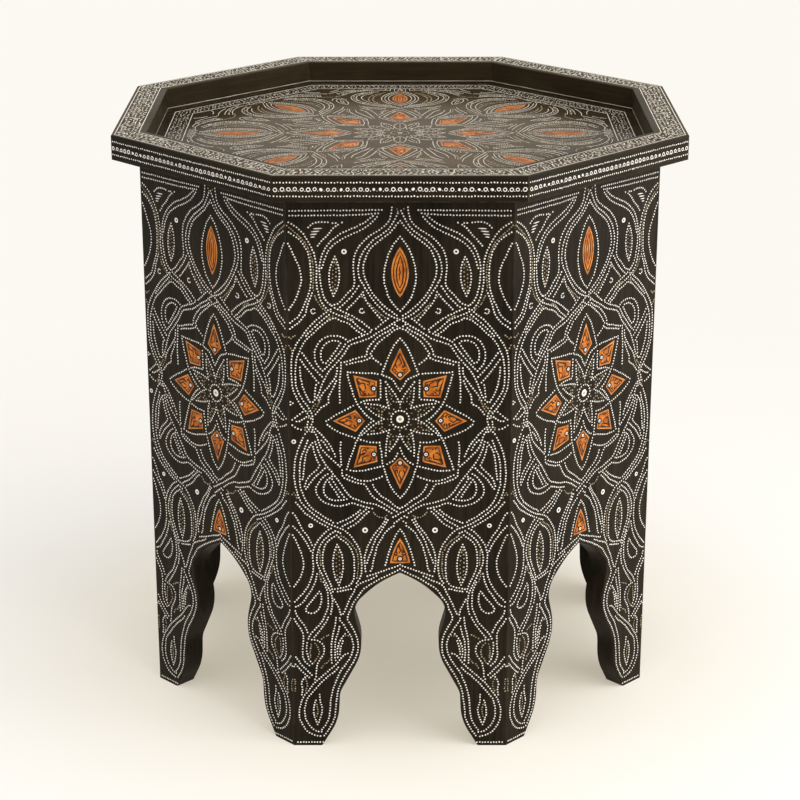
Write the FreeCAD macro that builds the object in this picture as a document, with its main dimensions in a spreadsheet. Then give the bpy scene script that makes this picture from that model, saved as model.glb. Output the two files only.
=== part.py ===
"""Moroccan kursi: an eight-sided tray stool of dark wood, each side cut to an ogee arch.

Millimetres. The origin is on the ground under the middle, +Z is up and the front side faces -Y.
Every side piece is drawn once in its own frame, with its outer face towards +Y, and is then
turned about Z to its place.
"""
import FreeCAD, Part
import Sketcher
import math
import os

SIDES = 8
FULL_TURN = 360
HALF_TURN = 180
SIDE_STEP = FULL_TURN // SIDES
CORNER_ANGLE = SIDE_STEP / 2
SIDE_NAMES = ["front", "front_right", "right", "back_right", "back", "back_left", "left", "front_left"]

# Driving dimensions, in millimetres unless the note says otherwise
DIMENSIONS = [
    ("OverallHeight", 530, "ground to the top of the rim"),
    ("BodyApothem", 229, "middle to the outer face of a side panel"),
    ("PanelThickness", 20, "side panel"),
    ("RimApothem", 252, "middle to the outer face of the rim"),
    ("RimWidth", 30, "rim rail, level"),
    ("RimHeight", 22, "rim rail, upright, which is the depth of the tray"),
    ("RimRounding", 1.2, "rounding of the two top edges of a rail"),
    ("FloorThickness", 14, "tray boards"),
    ("BoardWidth", 111, "one of the four tray boards"),
    ("EdgeBreak", 0.8, "chamfer on the outer edge of an arch"),
    ("InlayDepth", 3, "orange bone pieces and their pockets"),
    ("ArchFootAcross", 69.5, "half opening at the ground"),
    ("ArchHeelAcross", 54.5, "corner of the arch outline over the foot"),
    ("ArchHeelUp", 25.5, "the same corner, height"),
    ("ArchHeelRadius", 49, "rounding there"),
    ("ArchAnkleAcross", 53.5, "corner under the waist of the opening"),
    ("ArchAnkleUp", 52.5, "the same corner, height"),
    ("ArchAnkleRadius", 22, "rounding there"),
    ("ArchWaistAcross", 31, "corner at the narrowest place"),
    ("ArchWaistUp", 95.5, "the same corner, height"),
    ("ArchWaistRadius", 45, "rounding there"),
    ("ArchLobeAcross", 42.5, "corner at the round lobe"),
    ("ArchLobeUp", 136.5, "the same corner, height"),
    ("ArchLobeRadius", 21, "rounding there"),
    ("ArchBrowAcross", 19.5, "corner between lobe and point"),
    ("ArchBrowUp", 159.5, "the same corner, height"),
    ("ArchBrowRadius", 84, "rounding there"),
    ("ArchPointUp", 169, "point of the arch"),
    ("StarUp", 312, "height of the star's middle on a panel"),
    ("UprightKiteInner", 35, "upright kites of the star: inner point from the middle"),
    ("UprightKiteShoulder", 44.5, "the same, shoulders"),
    ("UprightKiteTip", 64, "the same, outer tip"),
    ("UprightKiteSpread", 11.4, "the same, shoulders to each side, degrees"),
    ("LevelKiteInner", 30, "level kites: inner point"),
    ("LevelKiteShoulder", 39, "the same, shoulders"),
    ("LevelKiteTip", 57, "the same, outer tip"),
    ("LevelKiteSpread", 14.5, "the same, degrees"),
    ("SlantKiteInner", 28.5, "slanting kites: inner point"),
    ("SlantKiteShoulder", 39.5, "the same, shoulders"),
    ("SlantKiteTip", 56, "the same, outer tip"),
    ("SlantKiteSpread", 15.5, "the same, degrees"),
    ("LevelKiteDrop", 1.6, "level kites: how far they sit below the middle of the star"),
    ("LowKiteDrop", 4.5, "slanting kites of the lower half: the same"),
    ("LeafUp", 442, "upper leaf: height of its middle"),
    ("LeafHalfLength", 21.8, "the same, half length"),
    ("LeafHalfWidth", 7.2, "the same, half width"),
    ("DropFoot", 178.5, "lower drop: height of its straight foot"),
    ("DropTop", 202, "the same, height of its point"),
    ("DropHalfWidth", 8.7, "the same, half width at the foot"),
    ("DropSideRadius", 60, "the same, radius of its curved sides"),
    ("TrayKiteInner", 52, "kites of the tray star: inner point from the middle"),
    ("TrayKiteShoulder", 64, "the same, shoulders"),
    ("TrayKiteTip", 91, "the same, outer tip"),
    ("TrayKiteSpread", 9, "the same, degrees"),
    ("TrayLeafMiddle", 150, "leaves of the tray: middle of the tray to middle of the leaf"),
    ("TrayLeafHalfLength", 22, "the same, half length"),
    ("TrayLeafHalfWidth", 7.5, "the same, half width"),
    ("BlockFoot", 190, "height of the lower end of a corner block"),
    ("BlockFace", 25, "width of a corner block on each panel"),
    ("BlockThickness", 12, "corner block"),
    ("CleatLength", 120, "cleat under the tray boards"),
    ("CleatWidth", 20, "the same, level"),
    ("CleatHeight", 18, "the same, upright"),
    ("TenonWidth", 24, "loose tenon between rail and panel, along the side"),
    ("TenonThickness", 3.5, "the same, across the rail"),
    ("TenonDepth", 8, "its mortise in each piece"),
    ("TenonGap", 0.5, "glue space at each end of a tenon"),
    ("TenonSpread", 60, "tenon to the middle of its side"),
    ("TenonInset", 3.5, "tenon to the outer face of the panel"),
    ("NailWidth", 2.6, "square shank of a cut nail"),
    ("NailLength", 27, "the same, under its head"),
    ("NailHeadWidth", 6.4, "its square head"),
    ("NailHeadHeight", 1.2, "the same, thickness"),
    ("NailSpread", 50, "nail to the middle of its side"),
    ("CentreApothem", 2.5, "eight-sided bone centre of each star"),
]

# Rounded corners of the arch outline, from the ground up
ARCH_CORNERS = ["Heel", "Ankle", "Waist", "Lobe", "Brow"]

# The eight kites of a panel's star: kind, direction in degrees from level, and how far each one is lowered
STAR_KITES = [
    ("Upright", 90, "0"),
    ("Upright", 270, "0"),
    ("Level", 0, "Sizes.LevelKiteDrop"),
    ("Level", 180, "Sizes.LevelKiteDrop"),
    ("Slant", 45, "0"),
    ("Slant", 135, "0"),
    ("Slant", 225, "Sizes.LowKiteDrop"),
    ("Slant", 315, "Sizes.LowKiteDrop"),
]

# How near to a face an edge has to lie to count as on it, and how far inside the arch's box is clear of it
ON_FACE = 0.01
CLEAR_OF_ARCH = 1

doc = FreeCAD.newDocument("kursi_stool")
sheet = doc.addObject("Spreadsheet::Sheet", "Sizes")
for row, (alias, number, note) in enumerate(DIMENSIONS, 1):
    sheet.set(f"A{row}", alias)
    sheet.set(f"B{row}", str(number))
    sheet.set(f"C{row}", note)
    sheet.setAlias(f"B{row}", alias)
doc.recompute()

PANEL_TOP = "Sizes.OverallHeight - Sizes.RimHeight"
FLOOR_UNDERSIDE = f"{PANEL_TOP} - Sizes.FloorThickness"
CLEAT_UNDERSIDE = f"{FLOOR_UNDERSIDE} - Sizes.CleatHeight"
PANEL_INSIDE = "Sizes.BodyApothem - Sizes.PanelThickness"
RIM_INSIDE = "Sizes.RimApothem - Sizes.RimWidth"
CLEAT_MIDDLE = f"{PANEL_INSIDE} - Sizes.CleatWidth / 2"
TENON_LINE = "Sizes.BodyApothem - Sizes.TenonInset"
HALF_SIDE = f"tan({CORNER_ANGLE} deg)"

nodes = []


def value(expression):
    """Number that a sheet expression gives now."""
    result = sheet.evalExpression(expression)
    return float(getattr(result, "Value", result))


def new_body(label):
    """A body with its own name, which is also the name of its file."""
    body = doc.addObject("PartDesign::Body", label)
    body.Label = label
    body.AllowCompound = True
    nodes.append(body)
    return body


def turn_to_side(body, side):
    """Turns a piece drawn towards +Y so that it faces the way of the given side."""
    upright = FreeCAD.Vector(0, 0, 1)
    turn = FreeCAD.Rotation(upright, HALF_TURN + side * SIDE_STEP)
    body.Placement = FreeCAD.Placement(FreeCAD.Vector(), turn)


def origin_item(body, role):
    """One of the body's own origin planes or axes."""
    return next(item for item in body.Origin.OriginFeatures if item.Role == role)


def new_sketch(body, name, plane, height="0"):
    """A sketch on an origin plane, moved along the plane's normal by a sheet expression."""
    sketch = body.newObject("Sketcher::SketchObject", name)
    sketch.AttachmentSupport = [(origin_item(body, plane), "")]
    sketch.MapMode = "FlatFace"
    if height != "0":
        sketch.setExpression("AttachmentOffset.Base.z", height)
    return sketch


def bind(sketch, kind, geometry, expression, name, point=1):
    """A named dimension that follows a sheet expression."""
    if kind == "Radius":
        constraint = Sketcher.Constraint(kind, geometry, value(expression))
    else:
        constraint = Sketcher.Constraint(kind, -1, 1, geometry, point, value(expression))
    index = sketch.addConstraint(constraint)
    sketch.renameConstraint(index, name)
    sketch.setExpression(f"Constraints.{name}", expression)


def pin(sketch, geometry, point, place, name):
    """Holds one end of a line or arc at a pair of sheet expressions."""
    bind(sketch, "DistanceX", geometry, place[0], name + "Across", point)
    bind(sketch, "DistanceY", geometry, place[1], name + "Up", point)


def spot(place):
    """A point of a sketch from a pair of sheet expressions."""
    return FreeCAD.Vector(value(place[0]), value(place[1]), 0)


def join(sketch, first, first_end, second, second_end):
    """Makes one end of a line or arc meet one end of another."""
    sketch.addConstraint(Sketcher.Constraint("Coincident", first, first_end, second, second_end))


def add_polygon(sketch, corners, name):
    """Closed polygon through pairs of sheet expressions."""
    places = [spot(corner) for corner in corners]
    lines = [
        sketch.addGeometry(Part.LineSegment(start, end), False)
        for start, end in zip(places, places[1:] + places[:1])
    ]
    for line, following in zip(lines, lines[1:] + lines[:1]):
        join(sketch, line, 2, following, 1)
    for number, (line, corner) in enumerate(zip(lines, corners)):
        pin(sketch, line, 1, corner, f"{name}{number}")
    return lines


def add_block(sketch, middle, width, depth, name, angle=0):
    """Rectangle round a middle, turned with it about the origin by an angle in degrees."""
    corners = []
    for wide, deep in (("+", "+"), ("-", "+"), ("-", "-"), ("+", "-")):
        across = f"{middle[0]} {wide} {width} / 2"
        up = f"{middle[1]} {deep} {depth} / 2"
        corners.append(turned(across, up, angle))
    add_polygon(sketch, corners, name)


def turned(across, up, angle):
    """A pair of sheet expressions turned about the origin."""
    if angle == 0:
        return (across, up)
    cosine = f"cos({angle} deg)"
    sine = f"sin({angle} deg)"
    return (f"({across}) * {cosine} - ({up}) * {sine}", f"({across}) * {sine} + ({up}) * {cosine}")


def add_octagon(sketch, middle, apothem, name):
    """Regular eight-sided outline with level sides above and below."""
    reach = f"{apothem} / cos({CORNER_ANGLE} deg)"
    corners = []
    for side in range(SIDES):
        direction = f"{CORNER_ANGLE + side * SIDE_STEP} deg"
        across = f"{middle[0]} + {reach} * cos({direction})"
        up = f"{middle[1]} + {reach} * sin({direction})"
        corners.append((across, up))
    add_polygon(sketch, corners, name)


def add_arc(sketch, start, end, radius, name):
    """Arc to the left of the line from end to start, run anticlockwise, with its radius held."""
    first = spot(start)
    last = spot(end)
    chord = last - first
    size = value(radius)
    rise = math.sqrt(size ** 2 - (chord.Length / 2) ** 2)
    across = FreeCAD.Vector(-chord.y, chord.x, 0).normalize()
    centre = (first + last) * 0.5 + across * rise
    begin = math.atan2(first.y - centre.y, first.x - centre.x)
    finish = math.atan2(last.y - centre.y, last.x - centre.x)
    circle = Part.Circle(centre, FreeCAD.Vector(0, 0, 1), size)
    arc = sketch.addGeometry(Part.ArcOfCircle(circle, begin, finish), False)
    bind(sketch, "Radius", arc, radius, name + "Radius")
    return arc


def add_leaf(sketch, middle, angle, half_length, half_width, name):
    """Pointed leaf of two arcs, lying along the given angle."""
    ends = []
    for sign in ("-", "+"):
        across = f"{middle[0]} {sign} {half_length} * cos({angle} deg)"
        up = f"{middle[1]} {sign} {half_length} * sin({angle} deg)"
        ends.append((across, up))
    radius = f"({half_length} ^ 2 + {half_width} ^ 2) / (2 * {half_width})"
    one = add_arc(sketch, ends[0], ends[1], radius, name + "One")
    other = add_arc(sketch, ends[1], ends[0], radius, name + "Other")
    join(sketch, one, 2, other, 1)
    join(sketch, other, 2, one, 1)
    pin(sketch, one, 1, ends[0], name + "Start")
    pin(sketch, one, 2, ends[1], name + "End")


def add_kite(sketch, middle, angle, sizes, name):
    """Kite that points outwards along the given angle; sizes is the start of its sheet names."""
    corners = []
    steps = (("Inner", "0"), ("Shoulder", "+1"), ("Tip", "0"), ("Shoulder", "-1"))
    for reach, turn in steps:
        direction = f"({angle} + ({turn}) * Sizes.{sizes}Spread) * 1 deg"
        across = f"{middle[0]} + Sizes.{sizes}{reach} * cos({direction})"
        up = f"{middle[1]} + Sizes.{sizes}{reach} * sin({direction})"
        corners.append((across, up))
    add_polygon(sketch, corners, name)


def add_drop(sketch):
    """Lower bone piece of a panel: straight foot, curved sides, pointed top."""
    left = ("-Sizes.DropHalfWidth", "Sizes.DropFoot")
    right = ("Sizes.DropHalfWidth", "Sizes.DropFoot")
    top = ("0", "Sizes.DropTop")
    foot = sketch.addGeometry(Part.LineSegment(spot(left), spot(right)), False)
    right_side = add_arc(sketch, right, top, "Sizes.DropSideRadius", "DropRight")
    left_side = add_arc(sketch, top, left, "Sizes.DropSideRadius", "DropLeft")
    join(sketch, foot, 2, right_side, 1)
    join(sketch, right_side, 2, left_side, 1)
    join(sketch, left_side, 2, foot, 1)
    pin(sketch, foot, 1, left, "DropLeftFoot")
    pin(sketch, foot, 2, right, "DropRightFoot")
    pin(sketch, right_side, 2, top, "DropTop")


def draw_panel_inlay(sketch):
    """Outlines of the ten orange bone pieces of a panel, for their pockets and for the pieces."""
    for number, (kind, angle, drop) in enumerate(STAR_KITES):
        add_kite(sketch, ("0", f"Sizes.StarUp - {drop}"), angle, kind + "Kite", f"Kite{number}")
    add_leaf(sketch, ("0", "Sizes.LeafUp"), 90, "Sizes.LeafHalfLength", "Sizes.LeafHalfWidth", "Leaf")
    add_drop(sketch)


def draw_panel_centre(sketch):
    """Outline of the pale bone piece in the middle of a panel's star."""
    add_octagon(sketch, ("0", "Sizes.StarUp"), "Sizes.CentreApothem", "Centre")


def draw_tray_star(sketch):
    """Outlines of the eight kites of the tray, one towards each side."""
    for side in range(SIDES):
        add_kite(sketch, ("0", "0"), side * SIDE_STEP, "TrayKite", f"Star{side}")


def draw_tray_leaves(sketch):
    """Outlines of the eight leaves of the tray, beyond the kites."""
    for side in range(SIDES):
        angle = side * SIDE_STEP
        middle = turned("Sizes.TrayLeafMiddle", "0", angle)
        add_leaf(sketch, middle, angle, "Sizes.TrayLeafHalfLength", "Sizes.TrayLeafHalfWidth", f"Leaf{side}")


def draw_tray_centre(sketch):
    """Outline of the pale bone piece in the middle of the tray."""
    add_octagon(sketch, ("0", "0"), "Sizes.CentreApothem", "Centre")


def add_pad(body, sketch, name, length, reversed_way=False):
    """Pad of a given length, along the sketch's normal or the other way."""
    pad = body.newObject("PartDesign::Pad", name)
    pad.Profile = sketch
    pad.Reversed = reversed_way
    pad.setExpression("Length", length)
    return pad


def add_pocket(body, sketch, name, depth, reversed_way=False):
    """Pocket of a given depth, checked to take wood away."""
    before = body.Shape.Volume
    pocket = body.newObject("PartDesign::Pocket", name)
    pocket.Profile = sketch
    pocket.Reversed = reversed_way
    pocket.setExpression("Length", depth)
    doc.recompute()
    if body.Shape.Volume >= before:
        raise RuntimeError(f"{name} took nothing from {body.Label}")
    return pocket


def add_polar_pattern(body, originals):
    """Repeats features round the stool's upright axis, once for each side."""
    pattern = body.newObject("PartDesign::PolarPattern", "AllSides")
    pattern.Originals = originals
    pattern.Axis = (origin_item(body, "Z_Axis"), [""])
    pattern.Angle = FULL_TURN
    pattern.Occurrences = SIDES
    body.Tip = pattern
    return pattern


def draw_arch_half(sketch):
    """Half of the arch opening: a polygon whose corners are then rounded."""
    corners = [("0", "0"), ("Sizes.ArchFootAcross", "0")]
    corners += [(f"Sizes.Arch{name}Across", f"Sizes.Arch{name}Up") for name in ARCH_CORNERS]
    corners += [("0", "Sizes.ArchPointUp")]
    lines = add_polygon(sketch, corners, "Arch")
    for number, name in enumerate(ARCH_CORNERS):
        line = lines[number + 2]
        arc = sketch.GeometryCount
        sketch.fillet(line, 1, value(f"Sizes.Arch{name}Radius"), True, True)
        bind(sketch, "Radius", arc, f"Sizes.Arch{name}Radius", f"Arch{name}Rounding")


def arch_edges(shape):
    """Names of the edges where the arch meets the outer face."""
    outer = value("Sizes.BodyApothem")
    corner = outer * math.tan(math.radians(CORNER_ANGLE))
    top = value("Sizes.ArchPointUp")
    found = []
    for number, edge in enumerate(shape.Edges, 1):
        box = edge.BoundBox
        on_face = box.YMin > outer - ON_FACE
        between = max(abs(box.XMin), abs(box.XMax)) < corner - CLEAR_OF_ARCH
        below = box.ZMax < top + CLEAR_OF_ARCH
        off_ground = box.ZMax > ON_FACE
        if on_face and between and below and off_ground:
            found.append(f"Edge{number}")
    return found


def make_side_panel(side):
    """Mitred board with the ogee arch, a rebate for the tray boards and pockets for the bone."""
    body = new_body("side_panel_" + SIDE_NAMES[side])
    blank = new_sketch(body, "Blank", "XY_Plane")
    corners = []
    for reach in ("Sizes.BodyApothem", f"({PANEL_INSIDE})"):
        half = f"{reach} * {HALF_SIDE}"
        ends = [(half, reach), (f"-{half}", reach)]
        corners += ends if not corners else ends[::-1]
    add_polygon(blank, corners, "Board")
    add_pad(body, blank, "Board", PANEL_TOP)
    doc.recompute()

    opening = new_sketch(body, "ArchHalf", "XZ_Plane", "-Sizes.BodyApothem")
    draw_arch_half(opening)
    half_arch = add_pocket(body, opening, "ArchCut", "Sizes.PanelThickness", True)
    mirror = body.newObject("PartDesign::Mirrored", "ArchMirror")
    mirror.Originals = [half_arch]
    mirror.MirrorPlane = (origin_item(body, "YZ_Plane"), [""])
    body.Tip = mirror
    doc.recompute()

    chamfer = body.newObject("PartDesign::Chamfer", "ArchEdge")
    chamfer.Base = (mirror, arch_edges(mirror.Shape))
    chamfer.setExpression("Size", "Sizes.EdgeBreak")
    doc.recompute()

    rebate = new_sketch(body, "Rebate", "YZ_Plane", f"-Sizes.BodyApothem * {HALF_SIDE}")
    step = [
        (PANEL_INSIDE, FLOOR_UNDERSIDE),
        (RIM_INSIDE, FLOOR_UNDERSIDE),
        (RIM_INSIDE, PANEL_TOP),
        (PANEL_INSIDE, PANEL_TOP),
    ]
    add_polygon(rebate, step, "Step")
    add_pocket(body, rebate, "FloorRebate", f"2 * Sizes.BodyApothem * {HALF_SIDE}", True)

    add_mortises(body, PANEL_TOP, False)

    pockets = new_sketch(body, "BonePockets", "XZ_Plane", "-Sizes.BodyApothem")
    draw_panel_inlay(pockets)
    draw_panel_centre(pockets)
    add_pocket(body, pockets, "BonePocket", "Sizes.InlayDepth", True)
    turn_to_side(body, side)


def add_mortises(body, height, upwards):
    """Two mortises for the loose tenons between a rail and its panel."""
    mortises = new_sketch(body, "Mortises", "XY_Plane", height)
    draw_tenons(mortises)
    add_pocket(body, mortises, "Mortise", "Sizes.TenonDepth", upwards)


def draw_tenons(sketch):
    """Sections of the two loose tenons of a side, which are also those of their mortises."""
    for sign, name in (("", "Right"), ("-", "Left")):
        middle = (sign + "Sizes.TenonSpread", TENON_LINE)
        add_block(sketch, middle, "Sizes.TenonWidth", "Sizes.TenonThickness", name)


def make_panel_inlay(side):
    """The ten orange bone pieces let into one panel, flush with its face."""
    body = new_body("bone_inlay_" + SIDE_NAMES[side])
    outlines = new_sketch(body, "Bone", "XZ_Plane", "-Sizes.BodyApothem")
    draw_panel_inlay(outlines)
    add_pad(body, outlines, "BonePieces", "Sizes.InlayDepth")
    turn_to_side(body, side)


def make_rim_rail(side):
    """Mitred rail that overhangs the panel and forms the wall of the tray."""
    body = new_body("rim_rail_" + SIDE_NAMES[side])
    section = new_sketch(body, "Rail", "XY_Plane", PANEL_TOP)
    inner = f"({RIM_INSIDE})"
    corners = [
        (f"Sizes.RimApothem * {HALF_SIDE}", "Sizes.RimApothem"),
        (f"-Sizes.RimApothem * {HALF_SIDE}", "Sizes.RimApothem"),
        (f"-{inner} * {HALF_SIDE}", inner),
        (f"{inner} * {HALF_SIDE}", inner),
    ]
    add_polygon(section, corners, "Rail")
    rail = add_pad(body, section, "RailBlank", "Sizes.RimHeight")
    doc.recompute()

    rounding = body.newObject("PartDesign::Fillet", "TopEdges")
    rounding.Base = (rail, top_long_edges(rail.Shape))
    rounding.setExpression("Radius", "Sizes.RimRounding")
    doc.recompute()
    add_mortises(body, PANEL_TOP, True)
    turn_to_side(body, side)


def top_long_edges(shape):
    """Names of the two long edges on the top of a rail."""
    top = value("Sizes.OverallHeight")
    found = []
    for number, edge in enumerate(shape.Edges, 1):
        box = edge.BoundBox
        if box.ZMin > top - ON_FACE and box.YLength < ON_FACE:
            found.append(f"Edge{number}")
    return found


def board_corners(low, high):
    """Outline of one tray board between two level lines of the eight-sided floor."""
    apothem = f"({RIM_INSIDE})"
    slanting = f"({apothem} * sqrt(2))"
    bend = f"({apothem} * {HALF_SIDE})"
    if value(low) >= value(bend):
        return [
            (f"-({slanting} - {low})", low),
            (f"{slanting} - {low}", low),
            (bend, apothem),
            (f"-{bend}", apothem),
        ]
    return [
        (f"-{apothem}", low),
        (apothem, low),
        (apothem, bend),
        (f"{slanting} - {high}", high),
        (f"-({slanting} - {high})", high),
        (f"-{apothem}", bend),
    ]


def make_tray_board(label, inner_board, behind):
    """One of the four boards of the tray floor, glued edge to edge."""
    body = new_body(label)
    low, high = ("0", "Sizes.BoardWidth") if inner_board else ("Sizes.BoardWidth", f"({RIM_INSIDE})")
    outline = new_sketch(body, "Board", "XY_Plane", FLOOR_UNDERSIDE)
    add_polygon(outline, board_corners(low, high), "Board")
    add_pad(body, outline, "BoardBlank", "Sizes.FloorThickness")
    doc.recompute()

    holes = new_sketch(body, "NailHoles", "XY_Plane", FLOOR_UNDERSIDE)
    for side in range(SIDES):
        angle = side * SIDE_STEP
        for sign, name in (("", "Right"), ("-", "Left")):
            place = turned(sign + "Sizes.NailSpread", f"({CLEAT_MIDDLE})", angle)
            if value(low) < value(place[1]) < value(high):
                draw_nail(holes, sign, f"Nail{side}{name}", "Sizes.NailWidth", angle)
    add_pocket(body, holes, "NailHole", "Sizes.NailLength - Sizes.CleatHeight", True)

    star = new_sketch(body, "StarPockets", "XY_Plane", PANEL_TOP)
    draw_tray_star(star)
    draw_tray_leaves(star)
    if inner_board:
        draw_tray_centre(star)
    add_pocket(body, star, "StarPocket", "Sizes.InlayDepth")
    turn_to_side(body, SIDES // 2 if behind else 0)


def draw_nail(sketch, sign, name, width, angle=0):
    """Square section of a cleat nail, or of its head, on the side at the given angle."""
    middle = (sign + "Sizes.NailSpread", f"({CLEAT_MIDDLE})")
    add_block(sketch, middle, width, width, name, angle)


def make_tray_inlay(label, draw):
    """Orange bone pieces let into the tray floor, flush with it."""
    body = new_body(label)
    outlines = new_sketch(body, "Bone", "XY_Plane", PANEL_TOP)
    draw(outlines)
    add_pad(body, outlines, "BonePieces", "Sizes.InlayDepth", True)


def make_corner_block(number):
    """Glue block inside the corner between two panels, under the tray boards."""
    body = new_body(f"corner_block_{number + 1}")
    section = new_sketch(body, "Section", "XY_Plane", "Sizes.BlockFoot")
    corner = f"({PANEL_INSIDE}) / cos({CORNER_ANGLE} deg)"
    face_across = f"Sizes.BlockFace * cos({CORNER_ANGLE} deg)"
    face_up = f"{corner} - Sizes.BlockFace * sin({CORNER_ANGLE} deg)"
    back_across = f"{face_across} - Sizes.BlockThickness * sin({CORNER_ANGLE} deg)"
    back_up = f"{face_up} - Sizes.BlockThickness * cos({CORNER_ANGLE} deg)"
    corners = [
        ("0", corner),
        (f"-({face_across})", face_up),
        (f"-({back_across})", back_up),
        (back_across, back_up),
        (face_across, face_up),
    ]
    add_polygon(section, corners, "Block")
    add_pad(body, section, "Block", f"{FLOOR_UNDERSIDE} - Sizes.BlockFoot")
    turn_to_side(body, number + 0.5)


def make_cleat(side):
    """Cleat glued inside a panel, which holds the tray boards with two nails."""
    body = new_body("floor_cleat_" + SIDE_NAMES[side])
    section = new_sketch(body, "Section", "XY_Plane", CLEAT_UNDERSIDE)
    inner = f"{PANEL_INSIDE} - Sizes.CleatWidth"
    half = "Sizes.CleatLength / 2"
    corners = [
        (f"-{half}", inner),
        (half, inner),
        (half, PANEL_INSIDE),
        (f"-{half}", PANEL_INSIDE),
    ]
    add_polygon(section, corners, "Cleat")
    add_pad(body, section, "Cleat", "Sizes.CleatHeight")
    doc.recompute()
    holes = new_sketch(body, "NailHoles", "XY_Plane", CLEAT_UNDERSIDE)
    draw_nail(holes, "", "Right", "Sizes.NailWidth")
    draw_nail(holes, "-", "Left", "Sizes.NailWidth")
    add_pocket(body, holes, "NailHole", "Sizes.CleatHeight", True)
    turn_to_side(body, side)


def make_cleat_nails():
    """Sixteen cut nails, up through the cleats into the tray boards, heads on the cleats."""
    body = new_body("cleat_nails")
    features = []
    steps = (("Head", "Sizes.NailHeadWidth", True), ("Shank", "Sizes.NailWidth", False))
    for name, width, downwards in steps:
        section = new_sketch(body, name + "Section", "XY_Plane", CLEAT_UNDERSIDE)
        draw_nail(section, "", "Right", width)
        draw_nail(section, "-", "Left", width)
        length = "Sizes.NailHeadHeight" if downwards else "Sizes.NailLength"
        features.append(add_pad(body, section, name, length, downwards))
    add_polar_pattern(body, features)


def make_rim_tenons():
    """Sixteen loose tenons, half in the rails and half in the top edge of the panels."""
    body = new_body("rim_tenons")
    foot = f"{PANEL_TOP} - Sizes.TenonDepth + Sizes.TenonGap"
    section = new_sketch(body, "Section", "XY_Plane", foot)
    draw_tenons(section)
    tenons = add_pad(body, section, "Tenons", "2 * (Sizes.TenonDepth - Sizes.TenonGap)")
    add_polar_pattern(body, [tenons])


def make_rosette_centres():
    """Pale bone centres of the eight panel stars and of the tray star."""
    body = new_body("rosette_centres")
    outline = new_sketch(body, "PanelCentre", "XZ_Plane", "-Sizes.BodyApothem")
    draw_panel_centre(outline)
    centre = add_pad(body, outline, "PanelCentrePiece", "Sizes.InlayDepth")
    add_polar_pattern(body, [centre])
    outline = new_sketch(body, "TrayCentre", "XY_Plane", PANEL_TOP)
    draw_tray_centre(outline)
    add_pad(body, outline, "TrayCentrePiece", "Sizes.InlayDepth", True)


for side in range(SIDES):
    make_side_panel(side)
    make_panel_inlay(side)
    make_rim_rail(side)
    make_corner_block(side)
    make_cleat(side)
make_tray_board("tray_board_front", False, False)
make_tray_board("tray_board_mid_front", True, False)
make_tray_board("tray_board_mid_back", True, True)
make_tray_board("tray_board_back", False, True)
make_tray_inlay("tray_star_inlay", draw_tray_star)
make_tray_inlay("tray_leaf_inlay", draw_tray_leaves)
make_cleat_nails()
make_rim_tenons()
make_rosette_centres()
doc.recompute()

for item in doc.Objects:
    if "Invalid" in item.State or "Error" in item.State:
        raise RuntimeError(f"{item.Label} failed: {item.State}")
for node in nodes:
    if node.Shape.isNull() or not node.Shape.isValid():
        raise RuntimeError(f"{node.Label} has no valid shape")

os.makedirs("parts", exist_ok=True)
for node in nodes:
    node.Shape.exportStep(f"parts/{node.Label}.step")
    print(f"{node.Label}: {len(node.Shape.Solids)} solid, {node.Shape.Volume / 1000:.1f} cm3")
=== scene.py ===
# %% [markdown]
# # An eight-sided tray stool, dressed in bone
#
# The stool is a box of eight blackened boards with a tray on top. A maker drills thousands of small
# blind holes in the boards, taps a bone peg into each hole and rubs the whole face smooth with black
# wax. This lesson starts from the finished woodwork, which the frame holds at its real size, and adds
# what makes the stool look the way it does: pegs, rings, carved orange bone, grain, wear and dust.
#
# The first cell loads the woodwork. Nothing in it is moved or reshaped. The size of the woodwork is
# kept here, so that the last cell can print it next to the size of the dressed stool.

# %% Load the woodwork
import math
import random

import bpy
import numpy as np
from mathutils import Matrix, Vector


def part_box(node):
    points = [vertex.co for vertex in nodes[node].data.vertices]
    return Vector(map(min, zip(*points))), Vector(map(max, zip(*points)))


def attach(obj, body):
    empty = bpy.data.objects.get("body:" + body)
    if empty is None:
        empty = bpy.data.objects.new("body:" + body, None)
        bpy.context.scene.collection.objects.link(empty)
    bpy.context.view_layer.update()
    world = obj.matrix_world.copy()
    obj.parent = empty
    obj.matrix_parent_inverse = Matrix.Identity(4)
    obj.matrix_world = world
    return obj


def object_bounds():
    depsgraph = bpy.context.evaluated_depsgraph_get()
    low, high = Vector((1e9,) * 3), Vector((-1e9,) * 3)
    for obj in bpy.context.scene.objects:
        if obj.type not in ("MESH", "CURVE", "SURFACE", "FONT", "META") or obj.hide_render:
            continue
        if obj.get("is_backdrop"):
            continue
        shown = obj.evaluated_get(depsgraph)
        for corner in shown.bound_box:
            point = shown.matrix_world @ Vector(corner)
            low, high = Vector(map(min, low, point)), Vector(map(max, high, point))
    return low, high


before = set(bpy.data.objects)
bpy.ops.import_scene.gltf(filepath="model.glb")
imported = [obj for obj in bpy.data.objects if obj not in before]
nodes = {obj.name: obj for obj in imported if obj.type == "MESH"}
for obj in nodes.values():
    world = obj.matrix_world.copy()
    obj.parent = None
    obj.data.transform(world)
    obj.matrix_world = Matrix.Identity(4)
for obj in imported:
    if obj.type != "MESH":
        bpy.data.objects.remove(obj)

woodwork_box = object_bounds()
MM = 0.001
print("woodwork:", len(nodes), "pieces, highest point", round(woodwork_box[1].z, 3), "m")

# %% [markdown]
# ## Where the faces are
#
# Every face of the stool is the front face turned about the middle in steps of 45 degrees, so a point
# is drawn once, on the front face, and turned into place. The distances come from the woodwork
# itself: the front board tells how far out the faces stand, and a rail tells how wide and how high
# the rim is. From here on, patterns are drawn in millimetres and scaled by `MM` at the very end.

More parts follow.
